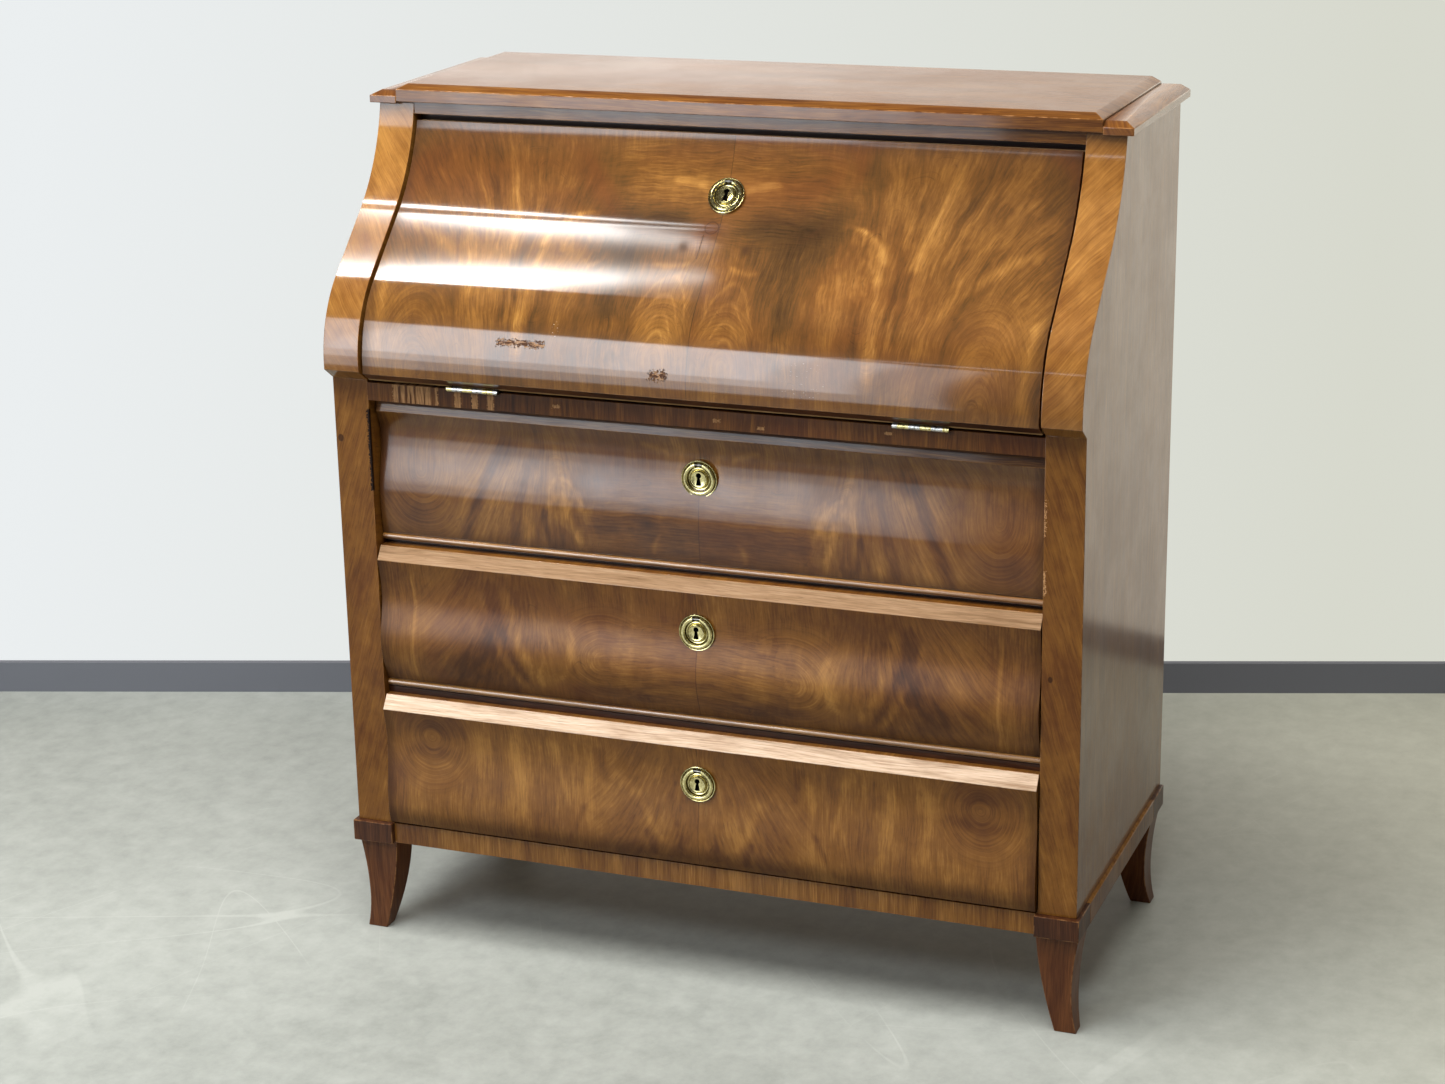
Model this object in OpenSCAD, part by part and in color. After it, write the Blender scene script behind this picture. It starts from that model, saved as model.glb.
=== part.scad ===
// Secretary desk: a swept fall front over three long drawers, on sabre feet.
// Millimetres, +Z up, the front faces -Y. The origin is on the floor under the middle of the desk.

/* [Case] */
// Width over the outer faces of the sides
case_w = 1000; // [900:5:1150]
// Depth from the front of the stiles to the back
case_d = 462; // [430:1:520]
// Thickness of each side panel
side_t = 20; // [17:0.5:24]
// Width of the stiles and cheeks seen from the front
stile_w = 50; // [42:1:60]
// Depth of the stiles and cheeks
stile_d = 45; // [38:1:52]
// Thickness of the back panel
back_t = 12; // [8:0.5:16]
// Height of the hinge rail and of the desk floor behind it
rail_h = 23.5; // [20:0.5:28]
// Depth of the hinge rail
rail_d = 22; // [20:0.5:28]
// Gap between the hinge rail and the flap
rail_gap = 3.5; // [3:0.1:4.5]

/* [Swept front] */
// Height of the cheeks
cheek_h = 331; // [320:1:350]
// How far the cheeks swell in front of the stiles
swell = 21.5; // [18:0.5:26]
// Height of the slanted underside of the swell
undercut_h = 15; // [12:0.5:18]
// Height of the upright band above the underside
upright_h = 7; // [4:0.5:10]
// Radius of the lower, bulging curve
swell_r = 150; // [140:1:160]
// Lean of the straight stretch, in degrees from upright
sweep_lean = 46.4; // [44:0.1:48]
// Radius of the upper, hollow curve
hollow_r = 246; // [230:1:260]
// Lean of the curve where it meets the top
top_lean = 11.3; // [9:0.1:14]

/* [Top] */
// How far the top stands out past the sides
top_over = 10; // [6:0.5:16]
// Width of the lower strip at each end of the top
strip_w = 38.1; // [32:0.1:46]
// Thickness of the lower strips
strip_h = 16; // [13:0.5:20]
// Thickness of the middle board of the top
top_t = 22.5; // [19:0.5:28]
// How far the top stands out at the back
top_rear = 11; // [6:0.5:14]
// Width of the chamfer round the top
chamfer_w = 12.6; // [9:0.1:15]
// Height of the chamfer round the top
chamfer_h = 6.5; // [5:0.1:9]
// Thickness of the board under the top
under_t = 16.5; // [14:0.5:20]
// How far the top's edge stands out over the cheeks
top_lip = 9.7; // [6:0.1:14]

/* [Plinth and feet] */
// Height of the feet
foot_h = 134; // [110:1:160]
// Height of the plinth
plinth_h = 29; // [24:0.5:36]
// How far the plinth stands out past the sides
plinth_out = 5; // [3:0.5:8]
// Width of the plinth's corner blocks
block_w = 58; // [52:1:66]
// Depth of the plinth's corner blocks
block_d = 60; // [54:1:70]
// How far the front corner blocks stand out
block_out = 8; // [5:0.5:12]
// Thickness of the plinth's front and back rails
plinth_t = 22; // [18:0.5:28]
// Width of a foot where it meets the plinth
foot_w = 55.5; // [48:0.5:60]
// Width of a foot on the floor
foot_tip_w = 28.5; // [24:0.5:34]
// How far a foot's outer side curves in at its narrowest
foot_waist = 9; // [6:0.5:12]
// How far a foot's toe turns out again
foot_toe = 6.5; // [4:0.5:9]
// Depth of a foot where it meets the plinth
foot_d = 48; // [42:0.5:54]
// How much thinner, front to back, a foot is on the floor
foot_taper = 25; // [18:0.5:28]

/* [Drawers] */
// Height of the low drawer's front
low_h = 181.5; // [160:0.5:200]
// Height of the middle drawer's front, with its bead
middle_h = 197; // [175:0.5:215]
// Height of the upper drawer's front, with its bead
upper_h = 191.5; // [170:0.5:210]
// Gap under the low drawer's front
low_gap = 4; // [3:0.5:6]
// Gap between the low and the middle drawer
middle_gap = 9.5; // [7:0.5:12]
// Gap between the middle and the upper drawer
upper_gap = 5; // [4:0.5:8]
// Gap between the upper drawer and the hinge rail
top_gap = 2.5; // [2:0.1:4]
// Gap at each end of a drawer front
front_gap = 1.5; // [1:0.1:3]
// Thickness of a drawer front where it is most hollow
front_t = 16; // [14:0.5:20]
// Thickness of the drawer sides
drawer_side_t = 12; // [9:0.5:15]
// Thickness of the drawer bottoms
drawer_bottom_t = 7; // [5:0.5:9]
// How far the drawers pull out
drawer_travel = 350; // [250:5:370]
// Thickness of the dividers between the drawers
divider_t = 18; // [15:0.5:22]
// Depth of the dividers, front to back
divider_d = 60; // [50:1:80]
// Clearance where a drawer slides
slide_gap = 0.3; // [0.2:0.05:0.6]

/* [Flap] */
// How far the flap's face lies behind the cheeks' face
flap_in = 4; // [2:0.5:6]
// Gap at each end of the flap
flap_gap = 3.5; // [2:0.1:5]
// Gap above the flap
flap_top_gap = 7.5; // [5:0.1:10]
// Clearance where the flap's head swings past the board under the top
swing_gap = 1; // [0.5:0.1:2]
// Thickness of the rail that keeps the flap's bolt
keeper_t = 12; // [10:0.5:14]
// Thickness of the flap's curved shell
shell_t = 14; // [12:0.5:16]
// Thickness of the flap's flat writing board
board_t = 10; // [8.5:0.5:10.5]
// Depth of the flap's lower edge behind the rail's front
heel_d = 22; // [19:0.5:26]
// Depth of the flap's upper edge
head_d = 41; // [38:0.5:50]
// Thickness of the flap's ribs
rib_t = 18; // [14:0.5:24]
// Height of the flap's upper and lower battens
batten_h = 30; // [22:0.5:40]

/* [Hinges] */
// Length of each hinge
hinge_w = 71; // [60:1:80]
// Distance between the hinges' middles
hinge_pitch = 595; // [500:5:700]
// Depth of a hinge leaf from the pin
leaf_d = 19; // [17:0.5:22]
// How far the pin lies in front of the hinge rail
pin_out = 4.3; // [4.1:0.1:4.6]
// Thickness of a hinge leaf
leaf_t = 1.75; // [1.5:0.05:1.9]
// Radius of the hinge pin
pin_r = 1.5; // [1.2:0.1:1.8]
// Running clearance round every pin
pin_gap = 0.06; // [0.03:0.01:0.09]

/* [Elbow stays] */
// Distance of the flap's pivot above its lower edge
stay_reach = 113; // [105:1:120]
// Length of each link
link_l = 170; // [160:1:180]
// Width of the arms and links
stay_w = 12; // [10:0.5:12.5]
// Thickness of the arms and links
stay_t = 3; // [2.5:0.1:3.2]
// Radius of the stays' rivets
rivet_r = 2.5; // [2:0.1:3]

/* [Locks and escutcheons] */
// Radius of the escutcheon plates
plate_r = 24.25; // [21:0.25:27]
// Mean radius of the drop rings
ring_r = 18.7; // [17:0.1:19.5]
// Width of the drop rings' section
ring_w = 5.6; // [5:0.1:6.2]
// Distance of the flap's keyhole below its upper edge
flap_key_drop = 72.2; // [64:0.1:78]
// Distance of a drawer's keyhole below its front's upper edge, upper drawer
upper_key_drop = 70; // [58:0.5:75]
// The same for the middle drawer
middle_key_drop = 71; // [62:0.5:75]
// The same for the low drawer
low_key_drop = 68.5; // [62:0.5:75]
// Width of the lock cases
lock_w = 62; // [54:1:70]
// Thickness of the drawers' lock cases
lock_t = 14; // [13:0.1:16]
// Thickness of the flap's lock case
flap_lock_t = 11; // [10:0.1:11.5]
// Gap between a drawer's lock and the board above it
lock_gap = 2.7; // [2:0.1:4]
// Width of the lock bolts
bolt_w = 24; // [20:1:30]
// Thickness of the lock bolts
bolt_t = 6; // [5:0.1:7]
// How far the drawers' bolts rise
bolt_travel = 10; // [9:0.5:11]
// How far the flap's bolt rises
flap_bolt_travel = 19; // [18:0.5:20]

/* [Inside] */
// Thickness of the raised writing bed
bed_t = 22; // [20:0.5:24]
// Thickness of the fitment's boards
fit_t = 9; // [7:0.5:11]
// Width left free beside the fitment for the stays
stay_channel = 20; // [18.5:0.5:24]
// Height inside the small drawers' openings
small_h = 60; // [50:1:64]
// Width inside the fitment's middle bay
middle_bay = 282; // [240:1:320]
// How far the small drawers pull out
small_travel = 135; // [100:5:140]
// Radius of the small drawers' knobs
knob_r = 8; // [6:0.5:10]

/* [Hidden] */
$fn = 48;

// Widths, from the middle
half_w = case_w / 2;
inner_w = half_w - side_t;
open_w = half_w - stile_w;
flap_w = open_w - flap_gap;
front_w = open_w - front_gap;

// Depths: the stiles' front is at 0 here, and in_frame() moves the desk so that its middle is at 0
back_y = case_d - back_t;
rear_y = case_d + top_rear;
mid_y = (rear_y - swell) / 2;

// Heights
plinth_z = foot_h + plinth_h;
low_z = plinth_z + low_gap;
middle_z = low_z + low_h + middle_gap;
upper_z = middle_z + middle_h + upper_gap;
rail_z = upper_z + upper_h + top_gap;
rail_top = rail_z + rail_h;
stile_z = rail_top + rail_gap;
side_top = stile_z + cheek_h;
bed_top = rail_top + bed_t;
under_top_z = side_top + 2.5 - under_t;
top_z = under_top_z + under_t;
flap_top = under_top_z - flap_top_gap;

// The swept profile, o behind the cheeks' face: an upright band, a convex arc, a straight, a hollow arc
swell_z = stile_z + undercut_h + upright_h;
swell_c = [swell_r - swell, swell_z];
hollow_cz = side_top + hollow_r * sin(top_lean);
straight_y = swell_c[0] - swell_r * cos(sweep_lean)
    + (hollow_cz - hollow_r * sin(sweep_lean) - swell_z - swell_r * sin(sweep_lean)) * tan(sweep_lean);
hollow_c = [straight_y - hollow_r * cos(sweep_lean), hollow_cz];
arc_steps = 14;
function convex_point(o, a) = swell_c + (swell_r - o) * [-cos(a), sin(a)];
function hollow_point(o, a) = hollow_c + (hollow_r + o) * [cos(a), -sin(a)];
function hollow_angle(o, z) = asin((hollow_cz - z) / (hollow_r + o));
function hollow_y(o, z) = hollow_point(o, hollow_angle(o, z))[0];
function sweep(o, z_end) = concat(
    [for (i = [0 : arc_steps]) convex_point(o, sweep_lean * i / arc_steps)],
    [for (i = [0 : arc_steps])
        hollow_point(o, sweep_lean + (hollow_angle(o, z_end) - sweep_lean) * i / arc_steps)]);
function reversed(list) = [for (i = [len(list) - 1 : -1 : 0]) list[i]];
undercut_slope = undercut_h / swell;
function undercut_z(y) = stile_z - y * undercut_slope;
sweep_top_y = hollow_y(0, side_top);
under_front = hollow_y(0, under_top_z) + 2;
lip_y = sweep_top_y - top_lip;

// The flap's flat inner face leans back from the heel, and rake_in() works in its own frame:
// x across, z up the face and y out of the face into the desk
head_y = hollow_y(flap_in, flap_top) + head_d;
flap_lean = atan((head_y - heel_d) / (flap_top - stile_z));
face_l = (flap_top - stile_z) / cos(flap_lean);
open_angle = 90 + flap_lean;
pin_y = -pin_out;
pin_z = rail_top + rail_gap / 2;
knuckle_r = leaf_t + rail_gap / 2;
board_y = board_t / cos(flap_lean);

// The flap's head is planed to the arc that passes the lower edge of the board under the top
pass_r = norm([under_front - pin_y, under_top_z - pin_z]);
swing_r = pass_r - swing_gap;
keeper_z = under_top_z - keeper_t;
keeper_front = pin_y + sqrt(pow(pass_r, 2) - pow(keeper_z - pin_z, 2));

// Stays: the link always lies parallel to the line from the hinge pins to the arms' pivots
stay_off = stay_w / 2 + 2;
ear_pivot = [heel_d + stay_reach * sin(flap_lean) + stay_off * cos(flap_lean),
             stile_z + stay_reach * cos(flap_lean) - stay_off * sin(flap_lean)];
foot_rise = bed_top + stay_w / 2 + 6 - pin_z;
foot_pivot = [pin_y + sqrt(link_l * link_l - foot_rise * foot_rise), pin_z + foot_rise];
elbow_pivot = ear_pivot + foot_pivot - [pin_y, pin_z];
stay_step = stay_t + 0.3;
ear_x = flap_w - stay_t;
link_x = ear_x - stay_step;
arm_x = link_x - stay_step;
foot_x = arm_x - stay_step;

// Drawers
box_rise = 6;
box_w = open_w - 4;
box_back = back_y - 12;
bead_h = 10.5;
function divider_top(z) = z + box_rise - slide_gap;
upper_back_y = front_back_y(upper_face(upper_h));
middle_back_y = front_back_y(middle_face(middle_h));
low_back_y = front_back_y(low_face(low_h));
runner_y = upper_back_y + 1 + divider_d;
runner_in = open_w - 25;
guide_h = 14;

// Escutcheons: heights above the plate's seat
plate_t = 0.9;
rim_h = 2.6;
ring_low = 1.7;
ring_top = 4.7;
ring_pin_h = 3.4;
ring_pin_r = 0.8;
plate_lift = 1.4;
keyhole_r = 2.8;
keyhole_rise = 4.5;
skirt_top = 1.4;
skirt_foot = 3.3;
skirt_drop = 7.8;
seat_gap = 0.1;
joint_gap = 0.1;
flap_key_z = flap_top - flap_key_drop;
flap_key_lean = hollow_angle(flap_in, flap_key_z);
lock_below = 28;
bolt_l = 44;
fork_l = 12;
mortise_gap = 1;
bolt_inset = 1;
keeper_space = 2;
key_depth = 60;

// Fitment
fit_y = head_y + 19;
fit_w = open_w - stay_channel;
fit_back = back_y - 2;
fit_top = under_top_z - 1;
small_front_t = 10;
small_side_t = 6;
small_gap = 0.5;

wood = [0.47, 0.27, 0.14];
dark_wood = [0.40, 0.22, 0.12];
gold_wood = [0.62, 0.40, 0.20];
pale_wood = [0.72, 0.56, 0.36];
brass = [0.78, 0.72, 0.42];
steel = [0.55, 0.55, 0.53];

module in_frame() {
    translate([0, -mid_y, 0]) children();
}

// Extrudes a [y, z] outline across the desk, from x0 to x1
module across(x0, x1) {
    translate([x0, 0, 0]) rotate([90, 0, 90]) linear_extrude(x1 - x0) children();
}

// Extrudes an [x, z] outline backwards, from y0 to y1
module backwards(y0, y1) {
    translate([0, y1, 0]) rotate([90, 0, 0]) linear_extrude(y1 - y0) children();
}

// A block between two corners
module block(lo, hi) {
    translate(lo) cube(hi - lo);
}

module both_sides() {
    for (s = [0, 1]) mirror([s, 0, 0]) children();
}

// The flap's inner face: local z runs up the face, local y points into the desk
module rake_in() {
    translate([0, heel_d, stile_z]) rotate([-flap_lean, 0, 0]) children();
}

// ---- Case ----

function side_outline() = concat(
    [[0, plinth_z], [0, stile_z], [-swell, stile_z + undercut_h]],
    sweep(0, side_top),
    [[back_y + back_t, side_top], [back_y + back_t, plinth_z]]);

module side_panel() {
    across(inner_w, half_w) polygon(side_outline());
}

module side_panel_right() {
    color(wood) in_frame() side_panel();
}

module side_panel_left() {
    color(wood) in_frame() mirror([1, 0, 0]) side_panel();
}

module stile() {
    block([open_w, 0, plinth_z], [inner_w, stile_d, stile_z]);
}

module stile_right() {
    color(gold_wood) in_frame() stile();
}

module stile_left() {
    color(gold_wood) in_frame() mirror([1, 0, 0]) stile();
}

function cheek_outline() = concat(
    [[stile_d, stile_z], [0, stile_z], [-swell, stile_z + undercut_h]],
    sweep(0, side_top),
    reversed(sweep(stile_d, side_top)));

module cheek() {
    across(open_w, inner_w) polygon(cheek_outline());
}

module cheek_right() {
    color(gold_wood) in_frame() cheek();
}

module cheek_left() {
    color(gold_wood) in_frame() mirror([1, 0, 0]) cheek();
}

module under_top_board() {
    cheek_back = hollow_y(stile_d, side_top) + 2;
    color(dark_wood) in_frame() {
        block([-open_w, under_front, under_top_z], [open_w, cheek_back + 1, top_z]);
        block([-inner_w, cheek_back, under_top_z], [inner_w, back_y, side_top]);
        block([strip_w - half_w - top_over, under_front, side_top],
              [half_w + top_over - strip_w, case_d, top_z]);
    }
}

// A rail glued under that board, behind the flap's head: its mortise keeps the flap's bolt
module keeper_rail() {
    color(dark_wood) in_frame() difference() {
        block([-open_w, keeper_front, keeper_z], [open_w, fit_y - keeper_space, under_top_z]);
        rake_in() block(
            [-bolt_w / 2 - mortise_gap, -(flap_lock_t + bolt_t) / 2 - mortise_gap, flap_bolt_top],
            [bolt_w / 2 + mortise_gap, mortise_gap - (flap_lock_t - bolt_t) / 2, flap_bolt_top + bolt_l]);
    }
}

// The top's edge seen from the side: chamfered in front, upright at the back
module edge_outline(z0, z1) {
    polygon([[lip_y, z0], [lip_y, z1 - chamfer_h], [lip_y + chamfer_w, z1], [rear_y, z1], [rear_y, z0]]);
}

module top_board() {
    w = half_w + top_over - strip_w;
    z1 = top_z + top_t;
    color(wood) in_frame() intersection() {
        across(-w, w) edge_outline(top_z, z1);
        backwards(lip_y - 1, rear_y + 1) polygon([
            [-w, top_z], [-w, z1 - chamfer_h], [chamfer_w - w, z1],
            [w - chamfer_w, z1], [w, z1 - chamfer_h], [w, top_z]]);
    }
}

module top_strips() {
    w = half_w + top_over;
    z1 = side_top + strip_h;
    color(wood) in_frame() both_sides() intersection() {
        across(w - strip_w, w) edge_outline(side_top, z1);
        backwards(lip_y - 1, rear_y + 1) polygon([
            [w - strip_w, side_top], [w - strip_w, z1], [w - chamfer_w, z1],
            [w, z1 - chamfer_h], [w, side_top]]);
    }
}

module hinge_rail() {
    color(wood) in_frame() difference() {
        block([-open_w, 0, rail_z], [open_w, rail_d, rail_top]);
        leaf_pockets(rail_top - leaf_t, rail_top + 1);
        hinge_screw_places(rail_top) screw_shank(-1);
    }
}

module desk_floor() {
    color(pale_wood) in_frame() difference() {
        union() {
            block([-open_w, rail_d, rail_z], [open_w, stile_d + 1, rail_top]);
            block([-inner_w, stile_d, rail_z], [inner_w, back_y, rail_top]);
        }
        bolt_mortise(upper_back_y, rail_z);
    }
}

module writing_bed() {
    front = heel_d + bed_t * tan(flap_lean) + 2;
    color(pale_wood) in_frame() block([-open_w + 0.5, front, rail_top], [open_w - 0.5, back_y, bed_top]);
}

// Slot for a drawer's bolt, in the underside of the board above it
module bolt_mortise(lock_y, z) {
    bolt_y = lock_y + (lock_t - bolt_t) / 2;
    block([-bolt_w / 2 - mortise_gap, bolt_y - mortise_gap, z - 1],
          [bolt_w / 2 + mortise_gap, bolt_y + bolt_t + mortise_gap, z + bolt_travel - lock_gap + 1]);
}

// A divider stands back behind the drawer above it and steps forward over the drawer below it
module divider(z_above, back_above, back_below) {
    z1 = divider_top(z_above);
    z0 = z1 - divider_t;
    difference() {
        union() {
            block([-open_w, back_below + 1, z0], [open_w, stile_d + 1, z_above - 1.5]);
            block([-open_w, back_above + 1, z0], [open_w, stile_d + 1, z1]);
            block([-inner_w, stile_d, z0], [inner_w, runner_y, z1]);
        }
        bolt_mortise(back_below, z0);
    }
}

module drawer_dividers() {
    color(dark_wood) in_frame() {
        divider(upper_z, upper_back_y, middle_back_y);
        divider(middle_z, middle_back_y, low_back_y);
    }
}

module bottom_board() {
    color(pale_wood) in_frame()
        block([-inner_w, plinth_t, foot_h + 11], [inner_w, back_y, plinth_z]);
}

// A runner carries a drawer's side and its guide keeps the drawer from wandering
module runner(z1, t, y0) {
    block([runner_in, y0, z1 - t], [inner_w, back_y, z1]);
    block([open_w - 3, y0, z1 - 1], [inner_w, back_y, z1 + guide_h]);
}

module drawer_runners() {
    color(pale_wood) in_frame() both_sides() {
        runner(divider_top(upper_z), divider_t, runner_y);
        runner(divider_top(middle_z), divider_t, runner_y);
        runner(divider_top(low_z), divider_top(low_z) - plinth_z, stile_d);
    }
}

module back_panel() {
    color(pale_wood) in_frame() block([-inner_w, back_y, plinth_z], [inner_w, case_d, side_top]);
}

module plinth_rails() {
    rail_w = half_w + plinth_out - block_w;
    color(wood) in_frame() {
        block([-rail_w, 0, foot_h], [rail_w, plinth_t, plinth_z]);
        block([-rail_w, back_y, foot_h], [rail_w, case_d, plinth_z]);
        both_sides()
            block([inner_w, block_d - block_out, foot_h],
                  [half_w + plinth_out, case_d - block_d, plinth_z]);
    }
}

module plinth_block(y0) {
    difference() {
        block([half_w + plinth_out - block_w, y0, foot_h], [half_w + plinth_out, y0 + block_d, plinth_z]);
        block([0, plinth_t, foot_h + 11], [inner_w, back_y, plinth_z + 1]);
    }
}

module plinth_blocks() {
    color(wood) in_frame() both_sides() {
        plinth_block(-block_out);
        plinth_block(case_d - block_d);
    }
}

// A sabre foot: its outer side curves in and the toe turns out, and it thins towards the floor
function foot_outer(t) =
    t > 0.38 ? -foot_waist * (1 - pow((t - 0.38) / 0.62, 2))
             : -foot_waist + foot_toe * pow((0.38 - t) / 0.38, 2);
function foot_inner(t) = -foot_w + (foot_w - foot_tip_w - foot_waist + foot_toe) * pow(1 - t, 1.6);
foot_steps = 12;

module foot() {
    outer_x = half_w + plinth_out - 2.5;
    front_y = 4 - block_out;
    intersection() {
        backwards(front_y - block_out, front_y + foot_d + 9) translate([outer_x, 0]) polygon(concat(
            [for (i = [0 : foot_steps]) [foot_outer(i / foot_steps), foot_h * i / foot_steps]],
            [for (i = [foot_steps : -1 : 0]) [foot_inner(i / foot_steps), foot_h * i / foot_steps]]));
        across(outer_x - foot_w - 1, outer_x + 1) translate([front_y + 8, 0]) polygon(concat(
            [[5, 0], [0, foot_h]],
            [for (i = [foot_steps : -1 : 0])
                [foot_d - (foot_taper - 5) * pow(1 - i / foot_steps, 3), foot_h * i / foot_steps]]));
    }
}

// The rear feet are the front feet turned round
module rear_foot() {
    translate([0, case_d - block_out, 0]) mirror([0, 1, 0]) foot();
}

module foot_front_right() {
    color(wood) in_frame() foot();
}

module foot_front_left() {
    color(wood) in_frame() mirror([1, 0, 0]) foot();
}

module foot_rear_right() {
    color(wood) in_frame() rear_foot();
}

module foot_rear_left() {
    color(wood) in_frame() mirror([1, 0, 0]) rear_foot();
}

// ---- Hinges ----

knuckles = 5;
knuckle_gap = 0.4;
screw_r = 1.5;
screw_l = 11;
knuckle_l = (hinge_w - knuckle_gap * (knuckles - 1)) / knuckles;

module hinge_places() {
    for (s = [-1, 1]) translate([s * hinge_pitch / 2, 0, 0]) children();
}

module leaf_pockets(z0, z1) {
    hinge_places()
        block([-hinge_w / 2 - seat_gap, -pin_out - 1, z0],
              [hinge_w / 2 + seat_gap, leaf_d - pin_out + seat_gap, z1]);
}

module hinge_screw_places(z) {
    hinge_places() for (x = [-1, 0, 1])
        translate([x * hinge_w / 3.2, (leaf_d - pin_out + 1) / 2, z]) children();
}

// The screws' shanks, down into the rail (way -1) or up into the flap (way 1)
module screw_shank(way) {
    mirror([0, 0, way > 0 ? 0 : 1]) translate([0, 0, leaf_t / 2]) cylinder(r = screw_r, h = screw_l);
}

// One leaf with the knuckles whose number is first, first + 2 and so on
module leaf(first, z0) {
    difference() {
        union() {
            block([-hinge_w / 2, pin_y + knuckle_r + knuckle_gap, z0],
                  [hinge_w / 2, leaf_d - pin_out, z0 + leaf_t]);
            for (i = [first : 2 : knuckles - 1])
                translate([(knuckle_l + knuckle_gap) * i - hinge_w / 2, 0, 0]) {
                translate([0, pin_y, pin_z]) rotate([0, 90, 0]) cylinder(r = knuckle_r, h = knuckle_l);
                block([0, pin_y, z0], [knuckle_l, pin_y + knuckle_r + 1, z0 + leaf_t]);
            }
        }
        translate([-hinge_w / 2 - 1, pin_y, pin_z]) rotate([0, 90, 0])
            cylinder(r = pin_r + pin_gap, h = hinge_w + 2);
    }
}

module hinge_leaves_case() {
    color(steel) in_frame() {
        hinge_places() leaf(0, rail_top - leaf_t);
        hinge_screw_places(rail_top) screw_shank(-1);
    }
}

module hinge_leaves_flap() {
    color(brass) in_frame() {
        hinge_places() leaf(1, stile_z);
        hinge_screw_places(stile_z) screw_shank(1);
    }
}

module hinge_pins() {
    color(steel) in_frame() hinge_places()
        translate([-hinge_w / 2, pin_y, pin_z]) rotate([0, 90, 0]) cylinder(r = pin_r, h = hinge_w);
}

// ---- Flap ----

function undercut_point(o) = [o - swell, undercut_z(o - swell)];
shell_in = flap_in + shell_t;

// All that lies inside the arc that the flap's head may sweep
module swing_space() {
    translate([-half_w, pin_y, pin_z]) rotate([0, 90, 0])
        cylinder(r = swing_r, h = 2 * half_w, $fn = 360);
}

module flap_shell() {
    color(wood) in_frame() difference() {
        intersection() {
            across(-flap_w, flap_w) polygon(concat(
                [undercut_point(flap_in)], sweep(flap_in, flap_top),
                reversed(sweep(shell_in, flap_top)), [undercut_point(shell_in)]));
            swing_space();
        }
        flap_plate_place() plate_seat();
        flap_plate_place() key_slot(-key_depth);
    }
}

// The core between the shell and the writing board
module core_outline() {
    polygon(concat(
        [undercut_point(shell_in)], sweep(shell_in, flap_top),
        [[head_y - board_y, flap_top], [heel_d - board_y, stile_z], [0, stile_z]]));
}

module flap_frame() {
    rib_places = [rib_t / 2 - flap_w, -flap_w / 3, flap_w / 3, flap_w - rib_t / 2];
    color(pale_wood) in_frame() difference() {
        intersection() {
            union() {
                for (x = rib_places) across(x - rib_t / 2, x + rib_t / 2) core_outline();
                across(-flap_w, flap_w) intersection() {
                    core_outline();
                    union() {
                        translate([-swell, flap_top - batten_h]) square([head_y + swell, batten_h + 1]);
                        translate([-swell, stile_z - 1]) square([heel_d + swell + 30, batten_h + 1]);
                    }
                }
            }
            swing_space();
        }
        leaf_pockets(stile_z - 1, stile_z + leaf_t);
        hinge_screw_places(stile_z) screw_shank(1);
        flap_lock_space();
        flap_plate_place() key_slot(-key_depth);
    }
}

module flap_board() {
    color(gold_wood) in_frame() difference() {
        intersection() {
            across(-flap_w, flap_w) polygon([
                [heel_d - board_y, stile_z], [head_y - board_y, flap_top],
                [head_y, flap_top], [heel_d, stile_z]]);
            swing_space();
        }
        leaf_pockets(stile_z - 1, stile_z + leaf_t);
        flap_lock_space();
        flap_plate_place() key_slot(-key_depth);
    }
}

// The bolt's head, drawn back, lies just inside the planed head of the flap
pin_up = (pin_y - heel_d) * sin(flap_lean) + (pin_z - stile_z) * cos(flap_lean);
pin_off = (pin_y - heel_d) * cos(flap_lean) - (pin_z - stile_z) * sin(flap_lean);
flap_bolt_top = pin_up - bolt_inset
    + sqrt(pow(swing_r, 2) - pow(pin_off + (flap_lock_t - bolt_t) / 2, 2));
flap_lock_low = face_l - flap_key_drop / cos(flap_lean) - lock_below;

module flap_lock_space() {
    rake_in() block([-lock_w / 2 - seat_gap, -flap_lock_t - seat_gap, flap_lock_low - seat_gap],
                    [lock_w / 2 + seat_gap, 1, face_l + 20]);
}

// Moves to the seat of the flap's plate: local z points out of the face
module flap_plate_place() {
    translate([0, hollow_y(flap_in, flap_key_z), flap_key_z])
        rotate([90 - flap_key_lean, 0, 0]) translate([0, 0, plate_lift]) children();
}

// ---- Escutcheons and drop rings, in their own frame: z out of the face, y up ----

module plate_seat() {
    cylinder(r = plate_r + seat_gap, h = 30);
}

// Keyhole: a round eye over a flared skirt
module key_slot(z0) {
    translate([0, keyhole_rise, z0]) cylinder(r = keyhole_r, h = 60 - z0);
    translate([0, 0, z0]) linear_extrude(60 - z0) polygon([
        [-skirt_top, keyhole_rise], [skirt_top, keyhole_rise],
        [skirt_foot, -skirt_drop], [-skirt_foot, -skirt_drop]]);
}

lug_w = 3.4;
lug_gap = 0.5;

module escutcheon() {
    difference() {
        union() {
            rotate_extrude() polygon([
                [0, 0], [plate_r, 0],
                [plate_r, rim_h - 0.8], [plate_r - 0.5, rim_h], [plate_r - 1.4, rim_h],
                [plate_r - 2, plate_t], [12.5, plate_t], [10.5, 2], [9.5, 3.6], [7.5, 4.4], [0, 4.4]]);
            block([-lug_w / 2, ring_r - 1.8, 0], [lug_w / 2, ring_r + 1.8, ring_pin_h + 1.6]);
        }
        key_slot(-1);
        ring_pin_space(ring_pin_r);
    }
    ring_pin_space(ring_pin_r);
}

module ring_pin_space(r) {
    translate([-6.5, ring_r, ring_pin_h]) rotate([0, 90, 0]) cylinder(r = r, h = 13);
}

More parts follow.
